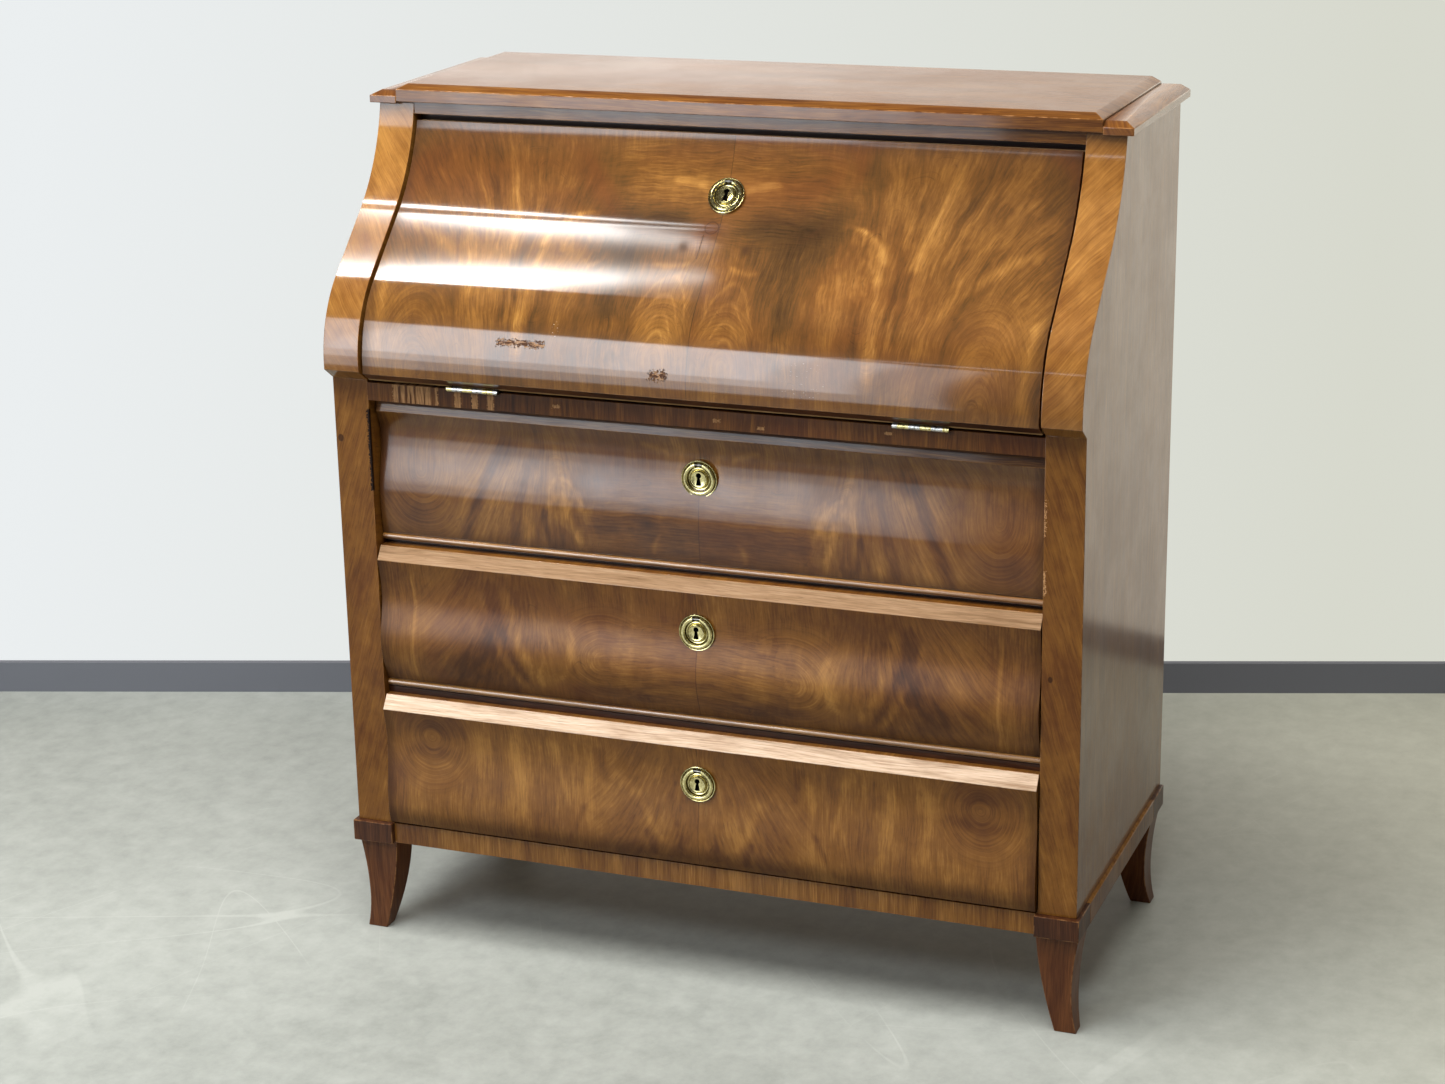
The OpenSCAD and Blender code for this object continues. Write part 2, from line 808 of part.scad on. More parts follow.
module drop_ring() {
    half = ring_w / 2;
    difference() {
        rotate_extrude() translate([ring_r, 0]) polygon(concat(
            [[half, ring_low], [half, ring_low + 1]],
            [for (a = [15 : 15 : 165]) [half * cos(a), ring_low + 1 + (ring_top - ring_low - 1) * sin(a)]],
            [[-half, ring_low + 1], [-half, ring_low]]));
        block([-20, ring_r + 1.5, 0], [20, ring_r + 20, 10]);
        block([-lug_w / 2 - lug_gap, 0, 0], [lug_w / 2 + lug_gap, 40, 10]);
        ring_pin_space(ring_pin_r + pin_gap);
    }
}

module flap_escutcheon() {
    color(brass) in_frame() flap_plate_place() escutcheon();
}

module flap_ring() {
    color(brass) in_frame() flap_plate_place() drop_ring();
}

// ---- Locks, in a frame whose z is up, whose y is into the desk and whose y = 0 is the mounting face ----

// A lock case of thickness t from z0 to z1, with a slot for its bolt that is open above
module lock_case(t, z0, z1, key_z, slot_z) {
    slot_y = (t - bolt_t) / 2 - slide_gap;
    difference() {
        block([-lock_w / 2, 0, z0], [lock_w / 2, t, z1]);
        block([-bolt_w / 2 - slide_gap, slot_y, slot_z], [bolt_w / 2 + slide_gap, t - slot_y, z1 + 1]);
        translate([0, -1, key_z]) rotate([-90, 0, 0]) cylinder(r = keyhole_r, h = t - 1);
    }
}

// A bolt whose head ends at z1, forked at its foot
module lock_bolt(t, z1) {
    bolt_y = (t - bolt_t) / 2;
    difference() {
        block([-bolt_w / 2, bolt_y, z1 - bolt_l], [bolt_w / 2, bolt_y + bolt_t, z1]);
        block([-bolt_w / 4, bolt_y - 1, z1 - bolt_l - 1],
              [bolt_w / 4, bolt_y + bolt_t + 1, z1 - bolt_l + fork_l]);
    }
}

// The flap's lock is let into the inner face, and its head is flush with the flap's upper edge
module flap_lock() {
    color(steel) in_frame() intersection() {
        rake_in() translate([0, -flap_lock_t, 0]) lock_case(flap_lock_t, flap_lock_low, face_l + 20,
            flap_lock_low + lock_below, flap_bolt_top - bolt_l - 2);
        block([-lock_w, 0, stile_z], [lock_w, case_d, flap_top]);
        swing_space();
    }
}

module flap_bolt() {
    color(steel) in_frame() rake_in() translate([0, -flap_lock_t, 0])
        lock_bolt(flap_lock_t, flap_bolt_top);
}

// ---- Elbow stays ----

// A flat bar with round ends between two [y, z] points, drilled at those of its ends that are listed
module bar(x, a, b, holes) {
    d = b - a;
    difference() {
        translate([x, a[0], a[1]]) rotate([atan2(d[1], d[0]), 0, 0]) {
            block([0, 0, -stay_w / 2], [stay_t, norm(d), stay_w / 2]);
            for (y = [0, norm(d)])
                translate([0, y, 0]) rotate([0, 90, 0]) cylinder(d = stay_w, h = stay_t);
        }
        for (p = holes) rivet(p, x - 1, x + stay_t + 1, pin_gap);
    }
}

module rivet(p, x0, x1, gap = 0) {
    translate([x0, p[0], p[1]]) rotate([0, 90, 0]) cylinder(r = rivet_r + gap, h = x1 - x0);
}

module stay_arm() {
    bar(arm_x, foot_pivot, elbow_pivot, [foot_pivot]);
    rivet(elbow_pivot, arm_x + stay_t / 2, link_x + stay_t);
}

module stay_link() {
    bar(link_x, ear_pivot, elbow_pivot, [ear_pivot, elbow_pivot]);
}

module stay_arm_right() {
    color(steel) in_frame() stay_arm();
}

module stay_arm_left() {
    color(steel) in_frame() mirror([1, 0, 0]) stay_arm();
}

module stay_link_right() {
    color(steel) in_frame() stay_link();
}

module stay_link_left() {
    color(steel) in_frame() mirror([1, 0, 0]) stay_link();
}

module stay_foot() {
    block([foot_x, foot_pivot[0] - stay_w, bed_top],
          [foot_x + stay_w, foot_pivot[0] + stay_w, bed_top + 2.4]);
    block([foot_x, foot_pivot[0] - stay_w / 2, bed_top],
          [foot_x + stay_t, foot_pivot[0] + stay_w / 2, foot_pivot[1]]);
    translate([foot_x, foot_pivot[0], foot_pivot[1]]) rotate([0, 90, 0]) cylinder(d = stay_w, h = stay_t);
    rivet(foot_pivot, foot_x + stay_t / 2, arm_x + stay_t);
}

module stay_feet() {
    color(steel) in_frame() both_sides() stay_foot();
}

module stay_ear() {
    rake_in() {
        block([ear_x + stay_t - stay_w, 0, stay_reach - stay_w],
              [ear_x + stay_t, 1.8, stay_reach + stay_w]);
        block([ear_x, 0, stay_reach - stay_w / 2], [ear_x + stay_t, stay_off, stay_reach + stay_w / 2]);
        translate([ear_x, stay_off, stay_reach]) rotate([0, 90, 0]) cylinder(d = stay_w, h = stay_t);
    }
    rivet(ear_pivot, link_x, ear_x + stay_t / 2);
}

module stay_ears() {
    color(steel) in_frame() both_sides() stay_ear();
}

// ---- Long drawers ----

// Drawer front face: a bevel, a hollow, a swell and a foot, as [distance below the top edge, y]
face_steps = 9;
function ease_out(a, b, t) = a + (b - a) * sin(90 * t);
function ease_both(a, b, t) = a + (b - a) * (1 - cos(180 * t)) / 2;
function ease_in(a, b, t) = a + (b - a) * (1 - cos(90 * t));
function face_part(d0, d1, h, part) = [for (i = [1 : face_steps])
    let (t = i / face_steps)
    [part == 0 ? ease_out(d0[1], d1[1], t)
        : part == 1 ? ease_both(d0[1], d1[1], t) : ease_in(d0[1], d1[1], t),
     h - d0[0] - (d1[0] - d0[0]) * t]];

// A front's flat back lies behind the deepest point of its face
function front_back_y(f) = max([for (p = [for (i = [1 : len(f) - 1]) f[i]]) p[1]]) + front_t;

// Stations of the three faces
function upper_face(h) = [[0, 20.5], [15.5, 14.5], [44.5, 26], [131.5, 15], [h - bead_h, 18.5]];
function middle_face(h) = [[0, 9], [17.3, -2.5], [67, 4.5], [130, -5.5], [h - bead_h, 10.7]];
function low_face(h) = [[0, 2.4], [17.7, -10], [66.7, -3], [153.7, -9.6], [h, -5]];

// The face as [y, height above the front's lower edge], from the top down
function face_points(f, h) = concat(
    [[f[0][1], h - f[0][0]], [f[1][1], h - f[1][0]]],
    face_part(f[1], f[2], h, 0), face_part(f[2], f[3], h, 1), face_part(f[3], f[4], h, 2));

// The hollow's y at a given distance below the top edge
function face_y(f, drop) = drop < f[2][0]
    ? ease_out(f[1][1], f[2][1], (drop - f[1][0]) / (f[2][0] - f[1][0]))
    : ease_both(f[2][1], f[3][1], (drop - f[2][0]) / (f[3][0] - f[2][0]));

// Moves to a drawer plate's seat: local z points forwards
module plate_place(f, z, h, key_drop) {
    translate([0, face_y(f, key_drop) - plate_lift, z + h - key_drop]) rotate([90, 0, 0]) children();
}

module drawer_front(f, z, h, back, key_drop, bead) {
    low = bead ? bead_h : 0;
    difference() {
        across(-front_w, front_w) translate([0, z]) polygon(concat(
            face_points(f, h), [[back, low], [back, h]]));
        plate_place(f, z, h, key_drop) plate_seat();
        plate_place(f, z, h, key_drop) key_slot(-key_depth);
    }
    if (bead) across(-front_w, front_w) translate([0, z]) bead_outline(f[4][1], back);
}

// A half-round bead glued under the front
module bead_outline(y, back) {
    r = bead_h / 2 - 1;
    translate([y - 2 + r, bead_h / 2]) circle(r = r);
    translate([y - 2 + r, 0]) square([back - y + 2 - r, bead_h - joint_gap]);
}

// Sides, back and bottom, each a board of its own
module drawer_box(z, h, back) {
    z0 = z + box_rise;
    z1 = z + h - 14;
    in_w = box_w - drawer_side_t;
    both_sides() block([in_w, back, z0], [box_w, box_back, z1]);
    block([joint_gap - in_w, box_back - drawer_side_t, z0], [in_w - joint_gap, box_back, z1 - 8]);
    block([joint_gap - in_w, back, z0 + 3],
          [in_w - joint_gap, box_back - drawer_side_t - joint_gap, z0 + 3 + drawer_bottom_t]);
}

// A drawer's lock hangs on the back of its front, just under the board above
module drawer_lock(back, ceiling, key_z) {
    bolt_top = ceiling - lock_gap;
    translate([0, back, 0]) lock_case(lock_t, key_z - lock_below, bolt_top, key_z, bolt_top - bolt_l - 2);
}

module drawer_bolt(back, ceiling) {
    translate([0, back, 0]) lock_bolt(lock_t, ceiling - lock_gap);
}

upper_ceiling = rail_z;
middle_ceiling = divider_top(upper_z) - divider_t;
low_ceiling = divider_top(middle_z) - divider_t;

module upper_drawer_front() {
    color(wood) in_frame()
        drawer_front(upper_face(upper_h), upper_z, upper_h, upper_back_y, upper_key_drop, true);
}

module middle_drawer_front() {
    color(wood) in_frame()
        drawer_front(middle_face(middle_h), middle_z, middle_h, middle_back_y, middle_key_drop, true);
}

module low_drawer_front() {
    color(wood) in_frame()
        drawer_front(low_face(low_h), low_z, low_h, low_back_y, low_key_drop, false);
}

module upper_drawer_box() {
    color(pale_wood) in_frame() drawer_box(upper_z, upper_h, upper_back_y);
}

module middle_drawer_box() {
    color(pale_wood) in_frame() drawer_box(middle_z, middle_h, middle_back_y);
}

module low_drawer_box() {
    color(pale_wood) in_frame() drawer_box(low_z, low_h, low_back_y);
}

module upper_plate_place() {
    plate_place(upper_face(upper_h), upper_z, upper_h, upper_key_drop) children();
}

module middle_plate_place() {
    plate_place(middle_face(middle_h), middle_z, middle_h, middle_key_drop) children();
}

module low_plate_place() {
    plate_place(low_face(low_h), low_z, low_h, low_key_drop) children();
}

module upper_escutcheon() {
    color(brass) in_frame() upper_plate_place() escutcheon();
}

module middle_escutcheon() {
    color(brass) in_frame() middle_plate_place() escutcheon();
}

module low_escutcheon() {
    color(brass) in_frame() low_plate_place() escutcheon();
}

module upper_ring() {
    color(brass) in_frame() upper_plate_place() drop_ring();
}

module middle_ring() {
    color(brass) in_frame() middle_plate_place() drop_ring();
}

module low_ring() {
    color(brass) in_frame() low_plate_place() drop_ring();
}

module upper_lock() {
    color(steel) in_frame() drawer_lock(upper_back_y, upper_ceiling, upper_z + upper_h - upper_key_drop);
}

module middle_lock() {
    color(steel) in_frame()
        drawer_lock(middle_back_y, middle_ceiling, middle_z + middle_h - middle_key_drop);
}

module low_lock() {
    color(steel) in_frame() drawer_lock(low_back_y, low_ceiling, low_z + low_h - low_key_drop);
}

module upper_bolt() {
    color(steel) in_frame() drawer_bolt(upper_back_y, upper_ceiling);
}

module middle_bolt() {
    color(steel) in_frame() drawer_bolt(middle_back_y, middle_ceiling);
}

module low_bolt() {
    color(steel) in_frame() drawer_bolt(low_back_y, low_ceiling);
}

// ---- Fitment inside the desk ----

bay_x = middle_bay / 2 + fit_t;
small_z = bed_top + fit_t;

module fit_board(x0, x1, z0, z1) {
    block([x0 + joint_gap, fit_y, z0 + joint_gap], [x1 - joint_gap, fit_back, z1 - joint_gap]);
}

// The ends and uprights stand between the floor and the lid, and the shelves lie between them
module fitment_case() {
    low = bed_top + fit_t;
    high = fit_top - fit_t;
    shelf = low + small_h;
    mid_x = (bay_x + fit_w - fit_t) / 2;
    color(gold_wood) in_frame() {
        block([-fit_w, fit_y, bed_top], [fit_w, fit_back, low]);
        block([-fit_w, fit_y, high], [fit_w, fit_back, fit_top]);
        fit_board(-middle_bay / 2, middle_bay / 2, (low + high) / 2, (low + high) / 2 + fit_t);
        both_sides() {
            fit_board(fit_w - fit_t, fit_w, low, high);
            fit_board(middle_bay / 2, bay_x, low, high);
            fit_board(bay_x, fit_w - fit_t, shelf, shelf + fit_t);
            fit_board(mid_x - fit_t / 2, mid_x + fit_t / 2, shelf + fit_t, high);
        }
    }
}

module small_drawer() {
    x0 = bay_x + small_gap;
    x1 = fit_w - fit_t - small_gap;
    z0 = small_z + slide_gap;
    z1 = small_z + small_h - small_gap;
    side_y = fit_y + small_front_t + joint_gap;
    rear = fit_back - 20;
    block([x0, fit_y, z0], [x1, fit_y + small_front_t, z1]);
    for (x = [x0 + 1, x1 - 1 - small_side_t])
        block([x, side_y, z0], [x + small_side_t, rear, z1 - 6]);
    block([x0 + 1 + small_side_t + joint_gap, rear - small_side_t, z0],
          [x1 - 1 - small_side_t - joint_gap, rear, z1 - 8]);
    block([x0 + 1 + small_side_t + joint_gap, side_y, z0 + 2],
          [x1 - 1 - small_side_t - joint_gap, rear - small_side_t - joint_gap, z0 + 6]);
    translate([(x0 + x1) / 2, fit_y, (z0 + z1) / 2]) knob();
}

// A turned knob on its stem
module knob() {
    rotate([90, 0, 0]) {
        cylinder(r = knob_r * 0.45, h = knob_r);
        translate([0, 0, knob_r]) cylinder(r1 = knob_r * 0.6, r2 = knob_r, h = knob_r * 0.35);
        translate([0, 0, knob_r * 1.35]) cylinder(r1 = knob_r, r2 = knob_r * 0.5, h = knob_r * 0.35);
    }
}

module small_drawer_right() {
    color(gold_wood) in_frame() small_drawer();
}

module small_drawer_left() {
    color(gold_wood) in_frame() mirror([1, 0, 0]) small_drawer();
}

side_panel_left();
side_panel_right();
stile_left();
stile_right();
cheek_left();
cheek_right();
under_top_board();
keeper_rail();
top_board();
top_strips();
hinge_rail();
desk_floor();
writing_bed();
drawer_dividers();
bottom_board();
drawer_runners();
back_panel();
plinth_rails();
plinth_blocks();
foot_front_left();
foot_front_right();
foot_rear_left();
foot_rear_right();
hinge_leaves_case();
hinge_pins();
stay_feet();
fitment_case();
flap_shell();
flap_board();
flap_frame();
hinge_leaves_flap();
flap_escutcheon();
flap_ring();
flap_lock();
flap_bolt();
stay_ears();
stay_arm_left();
stay_arm_right();
stay_link_left();
stay_link_right();
upper_drawer_front();
upper_drawer_box();
upper_escutcheon();
upper_ring();
upper_lock();
upper_bolt();
middle_drawer_front();
middle_drawer_box();
middle_escutcheon();
middle_ring();
middle_lock();
middle_bolt();
low_drawer_front();
low_drawer_box();
low_escutcheon();
low_ring();
low_lock();
low_bolt();
small_drawer_left();
small_drawer_right();
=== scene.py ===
from math import asin, atan2, cos, pi, radians, sin, tan

import bmesh
import bpy
from mathutils import Matrix, Quaternion, Vector


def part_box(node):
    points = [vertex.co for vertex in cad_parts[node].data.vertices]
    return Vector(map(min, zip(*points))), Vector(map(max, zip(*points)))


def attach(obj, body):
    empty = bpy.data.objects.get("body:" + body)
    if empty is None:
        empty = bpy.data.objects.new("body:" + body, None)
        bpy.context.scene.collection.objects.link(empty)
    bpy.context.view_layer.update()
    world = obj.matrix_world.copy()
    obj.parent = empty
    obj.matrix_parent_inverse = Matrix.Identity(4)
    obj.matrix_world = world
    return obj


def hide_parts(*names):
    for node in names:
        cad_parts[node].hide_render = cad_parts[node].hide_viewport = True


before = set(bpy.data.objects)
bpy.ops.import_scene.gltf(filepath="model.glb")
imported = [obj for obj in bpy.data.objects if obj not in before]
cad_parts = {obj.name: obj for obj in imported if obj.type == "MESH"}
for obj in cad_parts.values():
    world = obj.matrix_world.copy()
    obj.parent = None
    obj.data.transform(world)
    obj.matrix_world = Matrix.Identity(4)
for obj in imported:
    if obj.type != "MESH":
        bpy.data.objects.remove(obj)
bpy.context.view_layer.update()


# ---- Floor and wall foot ----
# A pale, worn concrete floor that ends at a low painted skirting, with a pool of warm light painted
# on it towards the right. Neither is part of the desk, so both are staged, and the wall above them
# is only the light of the room, with painted light: paler on the left, darker and warmer on the
# right.


class Signal:
    """A number that varies over a surface: arithmetic on it adds Math nodes."""

    def __init__(self, socket):
        self.socket = socket

    def math(self, operation, *others):
        return worked_out(operation, self, *others)

    def __add__(self, other):
        return worked_out("ADD", self, other)

    def __sub__(self, other):
        return worked_out("SUBTRACT", self, other)

    def __rsub__(self, other):
        return worked_out("SUBTRACT", other, self)

    def __mul__(self, other):
        return worked_out("MULTIPLY", self, other)

    def __truediv__(self, other):
        return worked_out("DIVIDE", self, other)

    def __neg__(self):
        return worked_out("MULTIPLY", self, -1)

    def __abs__(self):
        return worked_out("ABSOLUTE", self)

    __radd__ = __add__
    __rmul__ = __mul__


def worked_out(operation, *terms):
    """One Math node on signals and plain numbers."""
    tree = next(term for term in terms if isinstance(term, Signal)).socket.id_data
    made = tree.nodes.new("ShaderNodeMath")
    made.operation = operation
    for socket, term in zip(made.inputs, terms):
        feed(socket, term)
    return Signal(made.outputs[0])


def feed(socket, value):
    """Links a signal to a socket, or sets the socket to a plain value."""
    if isinstance(value, Signal):
        socket.id_data.links.new(value.socket, socket)
    elif socket.type == "RGBA" and len(value) == 3:
        socket.default_value = (*value, 1)
    else:
        socket.default_value = value


def squared_reach(u, v, centre, radii):
    """0 at a centre and 1 at the rim of the oval round it, squared."""
    du, dv = (u - centre[0]) / radii[0], (v - centre[1]) / radii[1]
    return du * du + dv * dv


class Nodes:
    """The nodes of one finish, or of the light of the room, and the coordinates they read."""

    def __init__(self, tree, coordinates):
        self.tree = tree
        place = self.node("TexCoord", output=coordinates)
        self.x, self.y, self.z = (self.node("SeparateXYZ", sockets={"Vector": place}, output=axis)
                                  for axis in "XYZ")

    def node(self, kind, settings=None, sockets=None, output=0):
        """Adds a node with its settings, feeds its sockets and gives one output."""
        made = self.tree.nodes.new("ShaderNode" + kind)
        for name, value in (settings or {}).items():
            if name == "stops":
                elements = made.color_ramp.elements
                while len(elements) < len(value):
                    elements.new(1)
                for element, (position, colour) in zip(elements, value):
                    element.position, element.color = position, (*colour, 1)
            else:
                setattr(made, name, value)
        for name, value in (sockets or {}).items():
            feed(made.inputs[name], value)
        return Signal(made.outputs[output])

    def noise(self, x, y, z, detail=3, roughness=0.5):
        """Smooth noise around 0.5 whose grain is one unit of x, y and z."""
        point = self.node("CombineXYZ", sockets={"X": x, "Y": y, "Z": z})
        return self.node("TexNoise", sockets={
            "Vector": point, "Scale": 1, "Detail": detail, "Roughness": roughness})

    def specks(self, fine, detail=3, roughness=0.5):
        """Noise of the same grain in every direction."""
        return self.noise(self.x * fine, self.y * fine, self.z * fine, detail, roughness)

    def ramp(self, value, *stops):
        """A colour for each value, between stops of (value, colour)."""
        return self.node("ValToRGB", {"stops": stops}, {"Fac": value})

    def mix(self, share, first, second):
        """A colour between two colours."""
        return self.node("Mix", {"data_type": "RGBA"}, {0: share, 6: first, 7: second}, output=2)

    def step(self, value, low, high):
        """0 below low, 1 above high and smooth between."""
        return self.node("MapRange", {"interpolation_type": "SMOOTHSTEP"}, {
            "Value": value, "From Min": low, "From Max": high, "To Min": 0, "To Max": 1})

    def spot(self, u, v, centre, radii):
        """1 at a centre, fading to 0 about a radius away from it."""
        return (-squared_reach(u, v, centre, radii)).math("EXPONENT")

    def patch(self, u, v, centre, radii, edge=0.25):
        """1 inside an oval and 0 outside, with a soft edge."""
        return self.step(squared_reach(u, v, centre, radii), 1 + edge, 1 - edge)


class Finish(Nodes):
    """A material and its Principled shader."""

    def __init__(self, name, **sockets):
        self.material = bpy.data.materials.new(name)
        self.material.use_nodes = True
        super().__init__(self.material.node_tree, "Object")
        self.shader = self.tree.nodes["Principled BSDF"]
        self.set(**sockets)

    def set(self, **sockets):
        """Feeds sockets of the shader, named with _ for each space."""
        for name, value in sockets.items():
            feed(self.shader.inputs[name.replace("_", " ")], value)
        return self

    def bump(self, height, distance):
        return self.set(Normal=self.node("Bump", sockets={
            "Height": height, "Distance": distance, "Strength": 1}))


# Greys from the darkest cloud to the palest, and the paler, warmer greys of a painted pool of warm
# light on the right
FLOOR_GREY = ((0.32, (0.235, 0.25, 0.229)), (0.5, (0.318, 0.333, 0.309)),
              (0.68, (0.4, 0.416, 0.388)))
WARM_POOL_GREY = ((0.32, (0.41, 0.41, 0.335)), (0.68, (0.57, 0.575, 0.475)))
SCRATCHES = ((0.35, 0), (2.2, 9), (1.2, 21))  # the turn of each set, and its own noise

concrete = Finish("worn_concrete", Specular_IOR_Level=0.35)
cloud = concrete.noise(concrete.x * 1.1, concrete.y * 1.1, 3, 5, 0.6)
mottle = concrete.noise(concrete.x * 26, concrete.y * 22, 8, 5, 0.72)
scratch = 0.0
for turn, offset in SCRATCHES:
    along = concrete.x * cos(turn) + concrete.y * sin(turn)
    across = concrete.y * cos(turn) - concrete.x * sin(turn)
    ridge = abs(concrete.noise(along * 0.5, across * 3.2, offset, 1) - 0.5)
    scratch = concrete.step(ridge, 0.0014, 0.0003) * 0.12 + scratch
scratch = scratch * concrete.step(cloud, 0.5, 0.6)
# A pool of warm light painted on the floor towards the right
warm_pool = concrete.step(concrete.x + concrete.y * 0.6, 0.2, 1.5)
tone = cloud * 0.55 + mottle * 0.45
concrete.set(Base_Color=concrete.mix(warm_pool * 0.9, concrete.ramp(tone + scratch, *FLOOR_GREY),
                                     concrete.ramp(tone, *WARM_POOL_GREY)),
             Roughness=concrete.step(cloud, 0.3, 0.7) * 0.2 + 0.38)
skirting_paint = Finish("skirting_paint", Base_Color=(0.125, 0.132, 0.155), Roughness=0.5)


def put(name, data):
    """Links an object with this data to the scene."""
    made = bpy.data.objects.new(name, data)
    bpy.context.scene.collection.objects.link(made)
    return made


def add_object(name, bm, *finishes):
    """Turns a bmesh into an object at the origin, with its finishes in order."""
    mesh = bpy.data.meshes.new(name)
    bm.to_mesh(mesh)
    bm.free()
    for finish in finishes:
        mesh.materials.append(finish.material)
    return put(name, mesh)


# The wall stands aslant behind the desk
WALL = Matrix.Translation((-0.3, 0.812, 0)) @ Matrix.Rotation(radians(18.1), 4, "Z")
FLOOR_LONG, FLOOR_DEEP = 14, 9
SKIRTING_T, SKIRTING_H = 0.012, 0.052
bm = bmesh.new()
bmesh.ops.create_grid(bm, x_segments=1, y_segments=1, size=0.5)
bmesh.ops.scale(bm, vec=(FLOOR_LONG, FLOOR_DEEP, 1), verts=bm.verts)
bmesh.ops.translate(bm, vec=(0, -FLOOR_DEEP / 2, 0), verts=bm.verts)
bmesh.ops.transform(bm, matrix=WALL, verts=bm.verts)
add_object("floor", bm, concrete)
bm = bmesh.new()
bmesh.ops.create_cube(bm, size=1)
bmesh.ops.scale(bm, vec=(FLOOR_LONG, SKIRTING_T, SKIRTING_H), verts=bm.verts)
bmesh.ops.translate(bm, vec=(0, 0, SKIRTING_H / 2), verts=bm.verts)
bmesh.ops.transform(bm, matrix=WALL, verts=bm.verts)
add_object("skirting", bm, skirting_paint)


# ---- Sides, stiles and cheeks ----
# Two pine panels faced with mahogany carry the case. A stile is glued to the front of each beside
# the drawers, and above it a cheek sawn to the sweep of the fall, whose veneer runs over the
# panel's edge. Old shellac covers them all, and is worn off the arrises.

# Grain tones from the darkest streak to the most golden
MAHOGANY = ((0.26, (0.024, 0.007, 0.0018)), (0.4, (0.07, 0.0225, 0.0044)),
            (0.5, (0.122, 0.044, 0.0078)), (0.6, (0.19, 0.077, 0.013)),
            (0.76, (0.35, 0.162, 0.034)))
RED_STAIN, PORE_DARK, RUBBED = (0.11, 0.027, 0.006), (0.02, 0.008, 0.004), (0.36, 0.17, 0.06)
WEAR = "wear"  # a face attribute: 1 on worn arrises, and where dirt settles in brass


def streaks(f, s, t, w, seed):
    """Grain of the finish f that changes across s and hardly along t and w, around 0."""
    return ((f.noise(s * 42, t * 3, w * 3 + seed, 2) - 0.5) * 0.2
            + (f.noise(s * 230, t * 11, w * 11 + seed, 3, 0.65) - 0.5) * 0.4
            + (f.noise(s * 700, t * 28, w * 28 + seed, 2) - 0.5) * 0.3)


def polished(name, grain, seed, tones=MAHOGANY, *, gloss, pores=1, lift=0, contrast=1,
             smudge=0.5, marks=None, redness=0.25, **sockets):
    """Shellacked wood: grain(f, seed) gives the tone around 0, and places across and along it.

    Gloss is the weight of the coat, and smudge how much of it is dulled. Lift makes the wood
    lighter, contrast its figure stronger, and redness its stain. marks(f) gives damage, and painted
    shade and glints, as (mask, colour, depth): the polish is gone there.
    """
    f = Finish(name, **{"Coat_Roughness": 0.08, "Specular_IOR_Level": 0.08, **sockets})
    tone, s, t, w = grain(f, seed)
    pore = f.step(f.noise(s * 1500, t * 60, w * 60 + seed, 1), 0.6, 0.72) * pores
    red = f.step(f.noise(s * 5 + t * 3, t * 4, w * 4 + seed + 30), 0.42, 0.72) * redness
    colour = f.mix(red, f.ramp(tone * contrast + (0.5 + lift), *tones), RED_STAIN)
    colour = f.mix(pore * 0.3, colour, PORE_DARK)
    worn = f.node("Attribute", {"attribute_name": WEAR}, output="Fac")
    rub = worn * f.step(f.specks(60, 4, 0.7), 0.42, 0.6)
    smear = f.specks(9, 4, 0.65)
    height = smear * (2.4 * smudge) - pore * 0.22 + f.noise(s * 300, t * 14, w * 14, 2) * 0.22
    colour = f.mix(rub * 0.5, colour, RUBBED)
    coat = gloss - f.step(smear, 0.35, 0.75) * (gloss * 0.6 * smudge)
    for mask, tint, depth in (marks(f) if marks else ()):
        colour = f.mix(mask, colour, tint)
        coat = coat * (1 - mask)
        height = height - mask * depth
    f.set(Base_Color=colour, Roughness=f.step(smear, 0.3, 0.7) * 0.14 + 0.36, Coat_Weight=coat)
    return f.bump(height, 0.00016)


def upright(across, along, warp=0.004, tone=0.1):
    """Plain grain: across and along name the axes, and warp is how far it wanders."""
    def grain(f, seed):
        axes = {"x": f.x, "y": f.y, "z": f.z}
        s, t = axes.pop(across), axes.pop(along)
        (w,) = axes.values()
        wander = f.noise(t * 2.2, s * 5, w * 5 + seed)
        cloud = f.noise(t * 3, s * 9, w * 9 + seed)
        s = s + w * 0.7 + (wander - 0.5) * warp * 10
        return streaks(f, s, t, w, seed) + (cloud - 0.5) * tone * 2, s, t, w
    return grain


def leaning(slope, tone=0.1):
    """Grain that climbs aslant across a stile or cheek, outwards if the slope is positive."""
    def grain(f, seed):
        wander = f.noise(f.z * 4, f.x * 8, f.y * 4 + seed)
        s = abs(f.x) * 0.8 - f.z * slope - f.y * slope * 0.4 + (wander - 0.5) * 0.03
        cloud = f.noise(f.z * 6, f.x * 16, seed)
        mottle = f.noise(f.x * 26, f.y * 18, f.z * 20 + seed, 6, 0.66) - 0.5
        value = streaks(f, s, f.z, f.y, seed) * 0.7 + mottle * 0.36 + (cloud - 0.5) * tone * 2
        return value, s, f.z, f.y
    return grain


def board_of(node):
    """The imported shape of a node, with its triangles joined back into flat faces."""
    bm = bmesh.new()
    bm.from_mesh(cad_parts[node].data)
    bmesh.ops.remove_doubles(bm, verts=bm.verts, dist=1e-5)
    bmesh.ops.dissolve_limit(bm, angle_limit=radians(1), verts=bm.verts, edges=bm.edges)
    return bm


def prism(outline, x0, x1):
    """A board whose end has this outline of (y, z) points."""
    bm = bmesh.new()
    end = bm.faces.new([bm.verts.new((x0, y, z)) for y, z in outline])
    grown = bmesh.ops.extrude_face_region(bm, geom=[end])["geom"]
    bmesh.ops.translate(bm, vec=(x1 - x0, 0, 0),
                        verts=[g for g in grown if isinstance(g, bmesh.types.BMVert)])
    bmesh.ops.recalc_face_normals(bm, faces=bm.faces)
    return bm


ARRIS, FINE_ARRIS, SOFT_ARRIS = 0.0008, 0.0006, 0.0012  # how far an edge is rounded
CORNER = 28  # degrees from which two faces meet in an edge


def wear_of(bm):
    """The face attribute for wear and dirt."""
    return bm.faces.layers.float.get(WEAR) or bm.faces.layers.float.new(WEAR)


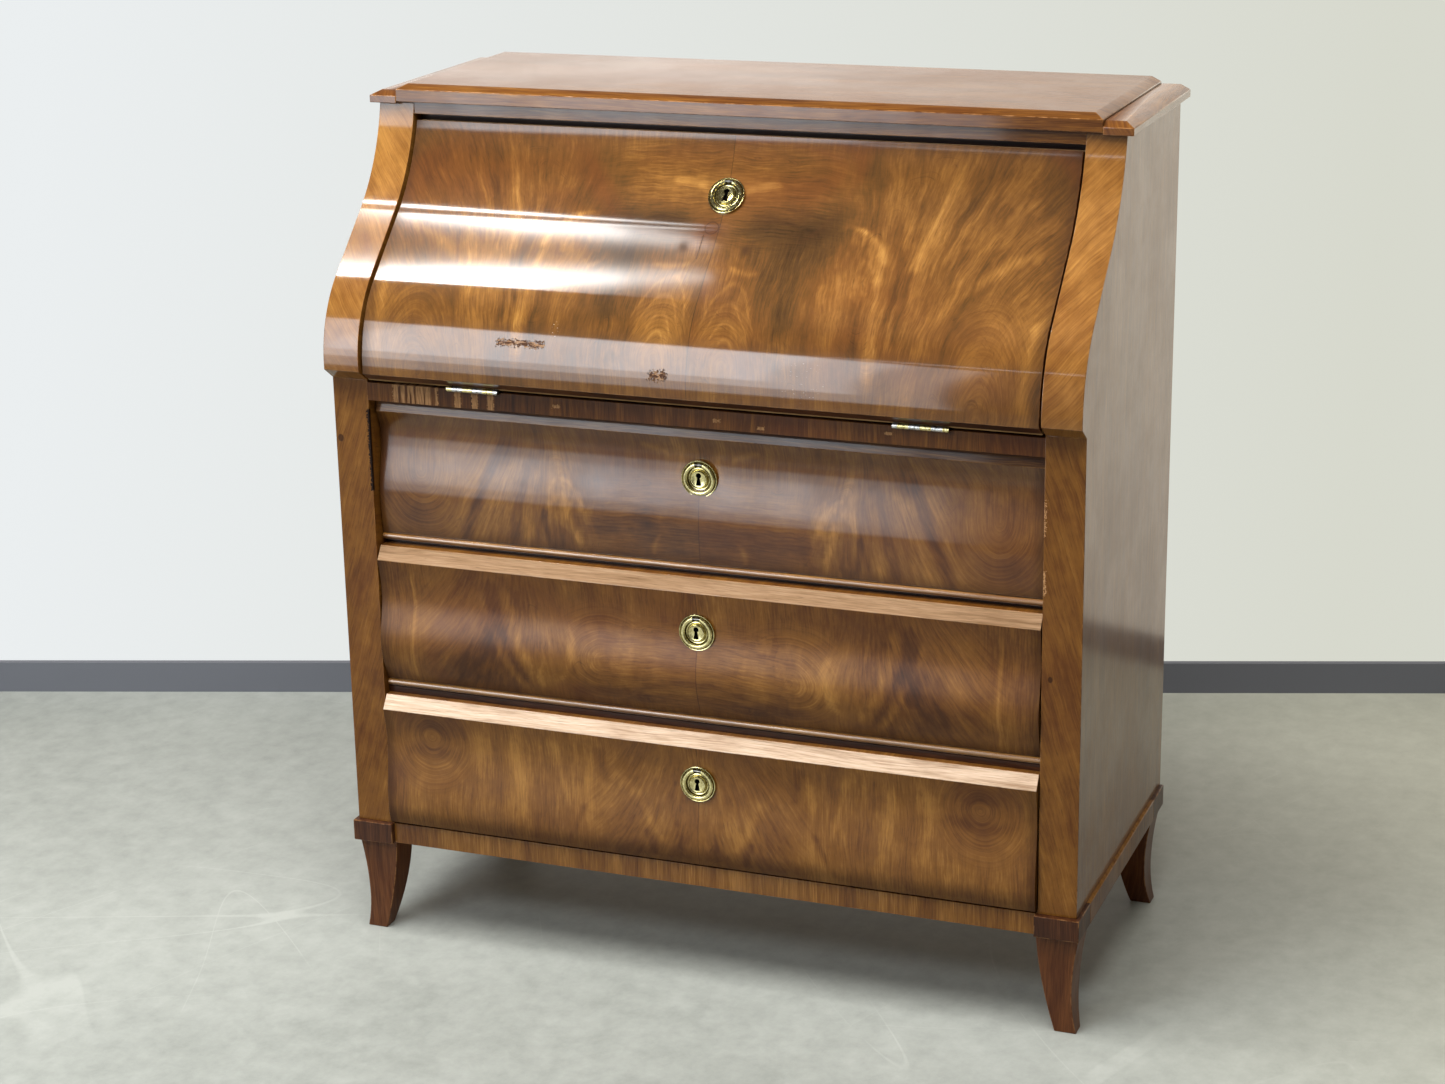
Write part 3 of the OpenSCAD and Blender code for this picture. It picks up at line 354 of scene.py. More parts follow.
def ease(bm, width=ARRIS, above=CORNER, joint=None):
    """Rounds every arris but those at x = joint, and marks the rounded faces as worn."""
    wear = wear_of(bm)
    sharp = [e for e in bm.edges if e.is_manifold and e.calc_face_angle(0) > radians(above)
             and (joint is None or any(abs(v.co.x - joint) > 1e-5 for v in e.verts))]
    made = bmesh.ops.bevel(bm, geom=sharp, offset=width, offset_type="OFFSET", segments=3,
                           profile=0.5, affect="EDGES", material=-1, clamp_overlap=True)
    for face in made["faces"]:
        face[wear] = 1.0
    return bm


def settle(name, bm, body, slot, stands_for, *finishes):
    """Makes a bmesh a piece of the desk: flat faces stay flat and curves are smooth."""
    wear = wear_of(bm)
    for face in bm.faces:
        face.smooth = True
    for edge in bm.edges:
        if edge.is_manifold:
            a, b = edge.link_faces
            edge.smooth = edge.calc_face_angle(0) < radians(CORNER) and a[wear] == b[wear]
    piece = add_object(name, bm, *finishes)
    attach(piece, body)
    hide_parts(*stands_for)


front_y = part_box("stile_left")[0].y
stile_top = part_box("cheek_left")[0].z
side_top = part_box("side_panel_left")[1].z
side_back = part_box("side_panel_left")[1].y
half_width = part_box("side_panel_right")[1].x
inner_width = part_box("side_panel_right")[0].x
# How far the swell stands out, and the radii of swell and hollow
SWELL, SWELL_R, HOLLOW_R = 0.0215, 0.15, 0.246
# How far the face leans between them, and at the top
SWEEP_LEAN, TOP_LEAN = radians(46.4), radians(11.3)
# Heights of the undercut, and of the upright part below the swell
UNDERCUT, UPRIGHT = 0.015, 0.007
swell_y = front_y + SWELL_R - SWELL
swell_z = stile_top + UNDERCUT + UPRIGHT
hollow_z = side_top + HOLLOW_R * sin(TOP_LEAN)
rise = hollow_z - swell_z - (HOLLOW_R + SWELL_R) * sin(SWEEP_LEAN)
hollow_y = swell_y - (SWELL_R + HOLLOW_R) * cos(SWEEP_LEAN) + rise * tan(SWEEP_LEAN)


def between(start, end, steps=28):
    """Even steps from start to end."""
    return [start + (end - start) * i / steps for i in range(steps + 1)]


def sweep(inset, end_z):
    """The sweep of the fall from below upwards, inset behind the cheeks' face."""
    swell_r, hollow_r = SWELL_R - inset, HOLLOW_R + inset
    end_lean = asin((hollow_z - end_z) / hollow_r)
    return ([(swell_y - swell_r * cos(a), swell_z + swell_r * sin(a))
             for a in between(0, SWEEP_LEAN)]
            + [(hollow_y + hollow_r * cos(a), hollow_z - hollow_r * sin(a))
               for a in between(SWEEP_LEAN, end_lean)])


def undercut(inset):
    """A point of the sloping lower edge, inset behind the swell."""
    y = inset - SWELL
    return front_y + y, stile_top - y * UNDERCUT / SWELL


def ragged(f, up, low, high, roughness=0.0015, soft=0.0006):
    """1 inside a rectangle from low to high (x, up) with a torn edge."""
    tear = (f.specks(420) - 0.5) * (roughness * 4)
    a, b = f.x + tear, up + tear
    return (f.step(a, low[0], low[0] + soft) * f.step(a, high[0] + soft, high[0])
            * f.step(b, low[1], low[1] + soft) * f.step(b, high[1] + soft, high[1]))


BARE_WOOD = (0.5, 0.27, 0.12)
KNOT, GAP_SHADE_BLACK = (0.03, 0.011, 0.005), (0.012, 0.006, 0.004)
upper_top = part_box("upper_drawer_front")[1].z


def stile_marks(f):
    """Chips along the right stile, a knot in each, and a strip gone from the left one's edge,
    painted black as shade.
    """
    chips = ragged(f, f.z, (0.4495, 0.58), (0.452, 0.612), 0.004)
    chips = chips + ragged(f, f.z, (0.4495, 0.655), (0.4515, 0.7), 0.004)
    knots = f.patch(f.x, f.z, (-0.493, 0.7), (0.004, 0.005)) + f.patch(
        f.x, f.z, (0.461, 0.4745), (0.003, 0.004))
    # Painted shade: a black strip on the left stile's edge, beside the recessed upper drawer
    shaded_split = (ragged(f, f.z, (-0.453, upper_top - 0.12), (-0.448, upper_top - 0.01), 0.003)
             * f.step(f.y, front_y + 0.006, front_y + 0.003))
    return [(chips, BARE_WOOD, 2), (knots * 0.8, KNOT, 0.5), (shaded_split, GAP_SHADE_BLACK, 5)]


# The cheeks' veneer is paler and more golden: its colour partly holds a painted highlight of the
# tubes' reflection
cheek_wood = polished("cheek_veneer", leaning(0.55, 0.12), 2, gloss=1, lift=0.12, contrast=0.8)
stile_wood = polished(
    "stile_veneer", leaning(-0.24), 6, gloss=0.25, lift=0.055, contrast=0.85, marks=stile_marks)
side_wood = polished(
    "side_veneer", upright("y", "z", 0.006), 11, gloss=0.8, lift=0.03, contrast=0.7, smudge=0.12,
    Coat_Roughness=0.13)

panel_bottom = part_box("side_panel_right")[0].z
CHEEK_THICK = 0.045
face_line = [(front_y, stile_top), undercut(0)] + sweep(0, side_top)
panel = [(side_back, panel_bottom), (front_y, panel_bottom)] + face_line + [(side_back, side_top)]
cheek = [(front_y + CHEEK_THICK, stile_top)] + face_line + sweep(CHEEK_THICK, side_top)[::-1]
for side, sign in (("left", -1), ("right", 1)):
    joint = sign * inner_width
    x0, x1 = sorted((joint, sign * half_width))
    bm = ease(prism(panel, x0, x1), joint=joint)
    for face in bm.faces:
        if face.normal.y < -0.2:
            face.material_index = 1 if face.calc_center_median().z < stile_top else 2
    settle(f"side_{side}", bm, "case", "side_mahogany", [f"side_panel_{side}"],
           side_wood, stile_wood, cheek_wood)
    lo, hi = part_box(f"cheek_{side}")
    settle(f"cheek_piece_{side}", ease(prism(cheek, lo.x, hi.x), FINE_ARRIS, joint=joint), "case",
           "golden_mahogany", [f"cheek_{side}"], cheek_wood)
    settle(f"stile_piece_{side}", ease(board_of(f"stile_{side}"), FINE_ARRIS, joint=joint), "case",
           "golden_mahogany", [f"stile_{side}"], stile_wood)


# ---- Carcase inside ----
# Pine boards, glued between the sides, make the desk's floor, the bottom, the back and the
# runners with their guides. The dividers between the drawers, and the rail under the top that
# keeps the fall's bolt, are stained dark.


def dress(finish, *nodes):
    """Gives packed boards that stay as they are this finish."""
    for node in nodes:
        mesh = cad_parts[node].data
        mesh.materials.clear()
        mesh.materials.append(finish.material)


PINE = ((0.35, (0.2, 0.1, 0.04)), (0.5, (0.33, 0.19, 0.085)), (0.65, (0.46, 0.29, 0.145)))
pine = polished("old_pine", upright("y", "x", 0.006), 15, PINE, gloss=0, pores=0.3, redness=0)
pine_back = polished("pine_back", upright("x", "z", 0.003), 17, PINE, gloss=0, pores=0.3, redness=0)
DARK = ((0.35, (0.018, 0.006, 0.003)), (0.5, (0.045, 0.015, 0.006)), (0.65, (0.1, 0.036, 0.012)))
dark_wood = polished("dark_mahogany", upright("z", "x"), 19, DARK, gloss=0.3)
dress(pine, "desk_floor", "bottom_board", "drawer_runners")
dress(pine_back, "back_panel")
dress(dark_wood, "drawer_dividers", "keeper_rail")


# ---- Plinth and feet ----
# Cross-grained rails run round the foot of the case between proud corner blocks, and four
# sabre feet, sawn from solid mahogany, are glued under them.
FOOT_RED = ((0.34, (0.026, 0.007, 0.0024)), (0.5, (0.074, 0.0215, 0.0062)),
            (0.66, (0.15, 0.052, 0.015)))
cross_wood = polished("cross_band", upright("x", "z", 0.003, 0.2), 23, gloss=0.4, lift=0.09)
side_band = polished("side_band", upright("y", "z", 0.003, 0.16), 29, gloss=0.5)
foot_wood = polished("foot_wood", upright("x", "z"), 31, FOOT_RED, gloss=0.3, lift=0.05)
block_wood = polished("block_wood", upright("x", "z"), 33, DARK, gloss=0.3, lift=0.02)
bm = ease(board_of("plinth_rails"))
for face in bm.faces:
    face.material_index = int(abs(face.normal.x) > 0.5)
settle("plinth", bm, "case", "mahogany", ["plinth_rails"], cross_wood, side_band)
settle("plinth_corners", ease(board_of("plinth_blocks"), SOFT_ARRIS), "case", "mahogany",
       ["plinth_blocks"], block_wood)
for foot in ("foot_front_left", "foot_front_right", "foot_rear_left", "foot_rear_right"):
    settle("sabre_" + foot, ease(board_of(foot), SOFT_ARRIS), "case", "mahogany", [foot], foot_wood)


# ---- Top ----
# A veneered board with chamfered edges is glued on a second one, whose front shows as a band
# above the fall. A chamfered strip of solid mahogany closes each end.
top_wood = polished(
    "top_board_wood", upright("y", "x", 0.012), 37, gloss=1, smudge=0.15, contrast=0.7,
    Coat_Roughness=0.2)
strip_wood = polished(
    "strip_wood", upright("x", "y", 0.006), 41, gloss=1, smudge=0.2, Coat_Roughness=0.15)
lip_wood = polished("lip_wood", upright("z", "x", 0.004, 0.12), 43, gloss=0.8, lift=-0.01)
bm = ease(board_of("top_board"))
for face in bm.faces:
    face.material_index = int(face.normal.z < 0.9)
settle("top", bm, "case", "top_mahogany", ["top_board"], top_wood, lip_wood)
settle("top_ends", ease(board_of("top_strips")), "case", "top_mahogany", ["top_strips"], strip_wood)
settle("under_top", ease(board_of("under_top_board")), "case", "dark_mahogany",
       ["under_top_board"], lip_wood)


# ---- Hinge rail and writing bed ----
# The pine rail that carries the hinges is veneered across its length, and has lost veneer to the
# fall's edge. Behind it a raised mahogany bed, glued on the desk's floor, lies level with the
# open fall.
STRIPPED = (0.36, 0.19, 0.08)


def rail_marks(f):
    """Veneer missing beside the left hinge: bare stripes, and chips along the edge."""
    bare = ragged(f, f.z, (-0.414, 0.752), (-0.35, 0.78), 0.0025)
    stripe = f.noise(f.x * 150, f.z * 8, 3, 2)
    bare = bare * f.step(stripe, 0.44, 0.5)
    for x in (-0.326, -0.302, -0.28):
        bare = bare + ragged(f, f.z, (x, 0.752), (x + 0.009, 0.776), 0.0015)
    for x, z in ((-0.189, 0.766), (0.028, 0.765), (0.086, 0.76), (0.25, 0.767)):
        bare = bare + ragged(f, f.z, (x, z - 0.002), (x + 0.01, z + 0.002), 0.002)
    glue = f.step(f.noise(f.x * 500, f.z * 60, 5), 0.35, 0.6)
    return [(bare * (glue * 0.45 + 0.4), STRIPPED, 3)]


rail_wood = polished(
    "rail_veneer", upright("x", "z", 0.006, 0.18), 47, gloss=0.3, lift=-0.075, redness=0.5,
    marks=rail_marks)
settle("rail", ease(board_of("hinge_rail"), FINE_ARRIS), "case", "mahogany", ["hinge_rail"],
       rail_wood)
bed_wood = polished("bed_wood", upright("y", "x", 0.01), 53, gloss=0.4, lift=0.04)
dress(bed_wood, "writing_bed")


# ---- Fittings inside ----
# A case of pigeonholes, made of thin mahogany boards, stands at the back of the desk. Under it a
# small drawer with a turned knob slides in at each end.
dress(bed_wood, "fitment_case", "small_drawer_left", "small_drawer_right")


# ---- Fall ----
# A curved shell veneered with two matched leaves of crotch mahogany, with a flat writing board
# behind it. It hangs on two brass butt hinges and rests on elbow stays when it is open.

# Crotch veneer is greener in its dark patches
CROTCH = ((0.24, (0.02, 0.009, 0.0028)), (0.38, (0.062, 0.0275, 0.0062)),
          (0.5, (0.12, 0.048, 0.0088)), (0.61, (0.2, 0.085, 0.015)),
          (0.78, (0.38, 0.185, 0.04)))
MM = 0.001


def mm(pair):
    return [n * MM for n in pair]


def hairlines(f, s, t, seed):
    """The fine, quiet streaks of crotch veneer, around 0."""
    return ((f.noise(s * 50, t * 5, seed, 3, 0.6) - 0.5) * 0.3
            + (f.noise(s * 420, t * 26, seed + 5, 3, 0.65) - 0.5) * 0.36)


def matched(up, fields, flames, clouds, curls, wander=1):
    """Crotch figure of two matched leaves, mirrored about the middle seam.

    Every place is (out, up) in millimetres from the seam and the face's lower edge. Fields (form,
    source, size, patch centre, patch radii) bend the grain, which is upright elsewhere. Flames
    are single streaks (foot, head, bend, width, tone). Clouds, which are ovals lighter or darker
    than the rest, and curls, ovals full of fine loops, are (tone, centre, radii).
    """
    def grain(f, seed):
        out, rise = abs(f.x), up(f)
        leaf = f.x.math("SIGN") * 0.3 + seed
        drift = [(f.noise(out * 6, rise * 6, leaf + k, 3, 0.55) - 0.5) * (22 * MM * wander)
                 + (f.noise(out * 55, rise * 40, leaf + k + 9, 2) - 0.5) * (2.5 * MM)
                 for k in (0, 40)]
        u, v = out + drift[0], rise + drift[1]
        value, across = hairlines(f, u, v, seed), u
        for form, source, size, centre, radii in fields:
            du, dv = u - source[0] * MM, v - source[1] * MM
            along = v
            if form in ("fountain", "hanging"):
                far = dv.math("MAXIMUM" if form == "fountain" else "MINIMUM", 0) / (size * MM)
                s = du / (1 + far * far)
            elif form == "level":
                s, along = dv + du * size, u
            else:
                if form != "ring":
                    dv = dv.math("MAXIMUM" if form == "arch" else "MINIMUM", 0)
                s = (du * du + dv * dv / size ** 2).math("SQRT")
            share = f.patch(out, rise, mm(centre), mm(radii), 0.6)
            share = share * (0.7 if form == "arch" else 1)
            value = value + (hairlines(f, s, along, seed + 3) - value) * share
            across = across + (s - across) * share
        glow = 0.0
        for foot, head, bend, width, tone in flames:
            rising = abs(head[1] - foot[1]) >= abs(head[0] - foot[0])
            a, b = (1, 0) if rising else (0, 1)
            p = f.node("MapRange", sockets={"Value": v if rising else u,
                                            "From Min": foot[a] * MM, "From Max": head[a] * MM})
            hump = p * (1 - p)
            middle = p * ((head[b] - foot[b]) * MM) + hump * (4 * bend * MM) + foot[b] * MM
            off = ((u if rising else v) - middle) / (width * MM)
            glow = (-(off * off)).math("EXPONENT") * (hump * 9).math("MINIMUM", 1) * tone + glow
        hair = f.noise(across * 420, v * 7, seed, 2, 0.6)
        value = value + glow.math("MAXIMUM", -0.05) * (hair * 2 + 0.3)
        for tone, centre, radii in clouds:
            value = value + f.spot(u, v, mm(centre), mm(radii)) * tone
        if curls:
            loop = (f.noise(u * 26, v * 17, leaf + 60, 3, 0.5) * 4).math("FRACT") - 0.5
            line = f.step(abs(loop), 0.34, 0.04)
            for tone, centre, radii in curls:
                oval = f.patch(out, rise, mm(centre), mm(radii), 0.6)
                value = value + line * oval * (hair + 0.3) * tone
        value = value + (f.noise(u * 13, v * 10, leaf + 7, 6, 0.66) - 0.5) * 0.42
        return value - f.step(out, 0.9 * MM, 0.2 * MM) * 0.12, across, v, leaf
    return grain


FALL_FOOT = 0.6175  # where the slanting height below starts
# A dark brown: painted shade at the edges of the fall and the drawer fronts, and a darker upper
# right on the fall
DARKENING_BROWN = (0.026, 0.01, 0.005)
SCORCH = (0.06, 0.016, 0.008)
# Torn wood, and the paler painted glints on it
TORN_WOOD, TORN_PAINTED_GLINT = (0.06, 0.023, 0.009), (0.3, 0.17, 0.09)
FLECK = (0.6, 0.52, 0.42)


def up_the_fall(f):
    """Height along the fall's face, from its lower edge."""
    return f.z * 0.8 + (f.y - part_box("flap_shell")[0].y) * 0.6 - FALL_FOOT


def fall_marks(f):
    """A torn strip, a chip, a round plug, two knots and a few flecks in the polish. The torn wood
    has painted glints, painted shade darkens the ends and the upper edge, and the upper right is
    darker and without coat.
    """
    v = up_the_fall(f)
    torn = ragged(f, v, (-0.258, 0.0605), (-0.192, 0.0675), 0.0045)
    chip = ragged(f, v, (-0.05, 0.0345), (-0.027, 0.0445), 0.0065)
    # Painted glints on the torn wood
    painted_glint = f.step(f.noise(f.x * 90, v * 260, 2, 3, 0.7), 0.5, 0.56)
    du, dv = f.x + 0.01, v - 0.243
    plug = (du * du + dv * dv).math("SQRT")
    rim = f.step(abs(plug - 0.0088), 0.0011, 0.0003)
    stain = f.spot(f.x, v, (-0.012, 0.24), (0.022, 0.016))
    knot = (0.0075, 0.0085)
    knots = f.spot(f.x, v, (-0.04, 0.213), knot) + f.spot(f.x, v, (0.043, 0.213), knot)
    flecks = f.step(f.noise(f.x * 210, v * 480, 4, 2), 0.66, 0.7) * (
        f.patch(f.x, v, (-0.29, 0.24), (0.05, 0.01), 0.3)
        + f.patch(f.x, v, (-0.215, 0.06), (0.03, 0.004), 0.5)
        + f.patch(f.x, v, (-0.18, 0.085), (0.005, 0.01), 0.5)
        + f.patch(f.x, v, (0.15, 0.045), (0.03, 0.025), 0.5) * 0.4)
    crack = ragged(f, v, (-0.0188, 0.196), (-0.018, 0.232), 0.0004)
    # Painted shade along the ends, inset beside the cheeks, and along the upper edge under the rail
    edge_shade = f.step(abs(f.x), 0.428, 0.45) * 0.5 + f.step(v, 0.345, 0.368) * 0.35
    # Darker and without coat towards the upper right
    dull = f.step(f.x, 0.08, 0.4) * f.step(v, 0.12, 0.34) * 0.26
    return [(edge_shade, DARKENING_BROWN, 0), (dull, DARKENING_BROWN, 0), (stain * 0.5, SCORCH, 0),
            (knots * 0.75, (0.035, 0.015, 0.006), 0.3), (rim * 0.6, (0.03, 0.01, 0.005), 0.8),
            (crack, (0.03, 0.012, 0.006), 1), (torn, TORN_WOOD, 5), (chip, TORN_WOOD, 5),
            (torn * painted_glint, TORN_PAINTED_GLINT, 0), (chip * painted_glint, TORN_PAINTED_GLINT, 0),
            (flecks * 0.7, FLECK, 0.6)]


FALL_FIGURE = (  # fields, flames, clouds and curls
    [("level", (0, 0), 0.05, (30, 290), (170, 75)),
     ("fountain", (228, -30), 300, (335, 190), (190, 240)),
     ("arch", (372, 10), 2.4, (374, 78), (56, 88)), ("arch", (42, 55), 1.5, (43, 82), (43, 54))],
    [((231, 33), (222, 205), 6, 8, 0.11), ((172, 258), (228, 198), 14, 9, 0.12),
     ((2, 84), (88, 84), 84, 5, 0.05), ((12, 80), (78, 80), 60, 4, 0.05),
     ((22, 76), (66, 76), 38, 4, 0.05), ((30, 70), (58, 70), 20, 3, 0.05),
     ((240, 60), (258, 333), -4, 5, 0.07), ((255, 69), (306, 345), -10, 7, 0.08),
     ((279, 105), (360, 333), -12, 9, 0.07), ((303, 111), (414, 321), -16, 9, 0.07),
     ((325, 160), (430, 232), 10, 8, 0.07), ((20, 292), (78, 302), 6, 6, 0.06),
     ((28, 192), (76, 186), -6, 5, 0.08), ((420, 30), (428, 150), 3, 7, 0.06),
     ((262, 90), (268, 200), -3, 5, -0.12), ((247, 110), (244, 240), 4, 4, -0.08),
     ((290, 120), (335, 320), -10, 5, -0.07), ((212, 50), (203, 165), 4, 6, -0.08),
     ((320, 60), (388, 300), -12, 6, -0.05)],
    [(-0.17, (110, 230), (75, 45)), (-0.1, (55, 245), (60, 22)), (0.07, (190, 190), (40, 55)),
     (0.04, (372, 70), (60, 60)), (-0.09, (440, 320), (80, 60)), (0.05, (42, 85), (46, 46)),
     (-0.11, (125, 140), (38, 60)), (-0.08, (255, 150), (14, 90)), (-0.05, (205, 330), (90, 30)),
     (0.02, (300, 200), (50, 110)), (0.06, (50, 300), (60, 12))],
    [(0.1, (178, 195), (40, 66)), (0.05, (90, 70), (40, 40))])
flap_wood = polished(
    "fall_veneer", matched(up_the_fall, *FALL_FIGURE, wander=1.6), 61, CROTCH, gloss=1,
    lift=0.01, smudge=0.25, redness=0.45, marks=fall_marks, Coat_Roughness=0.07)
edge_wood = polished("fall_edge", upright("z", "x"), 67, DARK, gloss=0.3, lift=0.03)
# The shell's face and back, inset behind the cheeks; its dark edges show above and below
FLAP_IN, SHELL_IN, EDGE_SHOWS = 0.004, 0.018, 0.004
lo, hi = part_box("flap_shell")
outline = ([undercut(FLAP_IN)] + sweep(FLAP_IN, hi.z)
           + sweep(SHELL_IN, hi.z - EDGE_SHOWS)[::-1] + [undercut(SHELL_IN)])
bm = ease(prism(outline, lo.x, hi.x), FINE_ARRIS)
for face in bm.faces:
    face.material_index = int(not (face.normal.y < -0.3 and abs(face.normal.x) < 0.5)
                              or face.calc_center_median().z < stile_top + UNDERCUT - EDGE_SHOWS)
settle("fall_shell", bm, "flap", "flap_veneer", ["flap_shell"], flap_wood, edge_wood)
dress(bed_wood, "flap_board")
dress(pine, "flap_frame")


# ---- Drawers ----
# Each front is pine sawn to a hollow and a swell, and veneered; a half-round bead is glued under
# the upper two. Sides, back and bottom are pine boards.


def above_edge(z):
    """Height above a front's lower edge, for its figure."""
    return lambda f: f.z - z


def shade_round(lo, hi):
    """Painted shade, dark along the ends and the lower edge of a front."""
    def marks(f):
        ends = f.step(abs(f.x), hi.x - 0.022, hi.x) * 0.5
        foot = f.step(f.z, lo.z + 0.03, lo.z + 0.006) * 0.45
        return [(ends + foot * (1 - ends), DARKENING_BROWN, 0)]
    return marks


# How a front curves: below the bevel, over the swell and to the foot
CURVES = (lambda t: sin(pi / 2 * t), lambda t: (1 - cos(pi * t)) / 2, lambda t: 1 - cos(pi / 2 * t))
FACES = {  # millimetres below the upper edge, and behind the stiles' front
    "upper": ((0, 20.5), (15.5, 14.5), (44.5, 26), (131.5, 15), (181, 18.5)),
    "middle": ((0, 9), (17.3, -2.5), (67, 4.5), (130, -5.5), (186.5, 10.7)),
    "low": ((0, 2.4), (17.7, -10), (66.7, -3), (153.7, -9.6), (181.5, -5)),
}
FIGURES = {
    "upper": (
        [("hanging", (205, 235), 190, (285, 70), (150, 140)),
         ("level", (0, 0), 0.04, (45, 50), (115, 75)),
         ("bowl", (388, 100), 1.3, (388, 72), (62, 78))],
        [((160, 5), (200, 150), 8, 7, 0.09), ((214, 5), (208, 125), -3, 5, 0.08),
         ((246, 5), (228, 125), 0, 6, 0.07), ((306, 5), (264, 132), 0, 17, 0.08),
         ((345, 5), (290, 140), 0, 8, 0.04), ((165, 60), (195, 110), -10, 6, 0.1),
         ((60, 15), (50, 45), 4, 4, 0.08), ((40, 150), (78, 158), 0, 5, 0.08),
         ((208, 3), (216, 65), 0, 4, -0.13), ((264, 8), (231, 150), 0, 5, -0.1),
         ((338, 5), (276, 153), -4, 8, -0.09)],
        [(-0.09, (100, 42), (62, 36)), (-0.06, (20, 38), (50, 32)), (0.02, (350, 60), (60, 60)),
         (-0.05, (435, 150), (40, 40))],
        [(0.11, (178, 62), (34, 60))]),
    "middle": (
        [("ring", (126, 76), 0.8, (130, 80), (78, 64)),
         ("level", (0, 0), 0.05, (40, 75), (95, 60)),
         ("hanging", (230, 260), 150, (290, 90), (110, 110))],
        [((216, 28), (270, 172), 10, 9, 0.07), ((242, 18), (302, 150), 8, 6, 0.06),
         ((399, 4), (399, 176), 0, 3, 0.08), ((196, 35), (180, 120), -14, 8, 0.06),
         ((290, 60), (285, 172), 0, 9, -0.1), ((228, 20), (288, 150), 8, 5, -0.07),
         ((55, 24), (175, 30), 4, 9, -0.06)],
        [(-0.06, (60, 30), (105, 22)), (0.03, (126, 76), (60, 45)), (-0.05, (325, 60), (50, 60)),
         (0.03, (350, 130), (60, 40)), (-0.05, (440, 150), (30, 50))],
        [(0.06, (126, 80), (66, 56))]),
    "low": (
        [("ring", (381, 126), 1.15, (381, 122), (66, 66)),
         ("hanging", (0, 260), 150, (70, 70), (80, 90))],
        [((44, 22), (86, 100), 8, 7, 0.04), ((70, 15), (98, 112), 4, 5, 0.025),
         ((155, 25), (150, 142), 3, 7, 0.065), ((178, 50), (202, 152), 4, 5, 0.055),
         ((250, 25), (262, 152), 0, 8, 0.05), ((300, 30), (318, 152), 0, 10, 0.055),
         ((58, 6), (78, 45), 0, 6, -0.06), ((184, 8), (160, 66), 0, 4, -0.07),
         ((130, 95), (142, 152), 0, 6, -0.06), ((20, 6), (30, 62), 0, 8, -0.06)],
        [(-0.12, (381, 152), (54, 26)), (0.06, (385, 130), (17, 12)), (0.03, (300, 90), (70, 50)),
         (-0.05, (440, 60), (40, 60)), (-0.05, (60, 15), (60, 22)), (-0.06, (372, 105), (60, 8))],
        []),
}
POLISH = {"upper": dict(seed=80, gloss=0.8, lift=0.02, Coat_Roughness=0.14),
          "middle": dict(seed=87, gloss=0.35, lift=0.045, Coat_Roughness=0.3),
          "low": dict(seed=94, gloss=0.4, lift=0.08, Coat_Roughness=0.3)}
# The middle and low bevels are paler: their colour holds a painted sheen of the light from above,
# the lowest one most
PAINTED_SHEEN_TAN = ((0.3, (0.19, 0.105, 0.05)), (0.5, (0.31, 0.185, 0.1)), (0.7, (0.42, 0.27, 0.16)))
PAINTED_SHEEN_PALE = ((0.3, (0.32, 0.2, 0.12)), (0.5, (0.58, 0.42, 0.3)), (0.7, (0.76, 0.6, 0.465)))
bevel_woods = {
    name: polished(f"{name}_bevel", upright("z", "x"), 71, tones, gloss=gloss, redness=0,
                   contrast=1.4)
    for name, tones, gloss in (
        ("upper", MAHOGANY, 0.35), ("middle", PAINTED_SHEEN_TAN, 0.6), ("low", PAINTED_SHEEN_PALE, 0.9))}
# The bead is paler than the fronts: its colour partly holds a painted highlight of its lit round
bead_wood = polished(
    "bead_wood", upright("z", "x"), 73, gloss=1, lift=0.15, Specular_IOR_Level=0.8,
    Coat_Roughness=0.16)
CURVE_STEPS, BEAD_STEPS = 24, 20
FRONT_ARRIS, BEAD_ARRIS = 0.0005, 0.0003
BEAD_R, BEAD_PROUD, GLUE_LINE = 0.00425, 0.002, 0.0001
BEAD_CORNER = 60  # degrees, so that only the bead's square edges are rounded
for name, stations in FACES.items():
    lo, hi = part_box(f"{name}_drawer_front")
    veneer = polished(f"{name}_veneer", matched(above_edge(lo.z), *FIGURES[name]), redness=0.3,
                      marks=shade_round(lo, hi), **POLISH[name])
    path = list(stations[:2])
    for (d0, y0), (d1, y1), curve in zip(stations[1:], stations[2:], CURVES):
        path += [(d0 + (d1 - d0) * t, y0 + (y1 - y0) * curve(t))
                 for t in between(0, 1, CURVE_STEPS)[1:]]
    front = [(front_y + y / 1000, hi.z - d / 1000) for d, y in path]
    foot_y, foot_z = front[-1]
    bm = ease(prism(front + [(hi.y, foot_z), (hi.y, hi.z)], lo.x, hi.x), FRONT_ARRIS)
    bevel_foot = hi.z - stations[1][0] / 1000 - 0.0004
    for face in bm.faces:
        if face.calc_center_median().z > bevel_foot and face.normal.y < -0.2:
            face.material_index = 1
    settle(f"{name}_front", bm, f"{name}_drawer", "drawer_veneer", [f"{name}_drawer_front"],
           veneer, bevel_woods[name])
    if foot_z > lo.z + BEAD_R:
        middle_y, middle_z = foot_y - BEAD_PROUD + BEAD_R, (foot_z + lo.z) / 2
        bead = [(middle_y - BEAD_R * sin(a), middle_z + BEAD_R * cos(a))
                for a in between(0, pi, BEAD_STEPS)]
        bead += [(middle_y, lo.z), (hi.y, lo.z), (hi.y, foot_z - GLUE_LINE),
                 (middle_y, foot_z - GLUE_LINE)]
        settle(f"{name}_bead", ease(prism(bead, lo.x, hi.x), BEAD_ARRIS, BEAD_CORNER),
               f"{name}_drawer", "drawer_veneer", [], bead_wood)
    dress(pine, f"{name}_drawer_box")


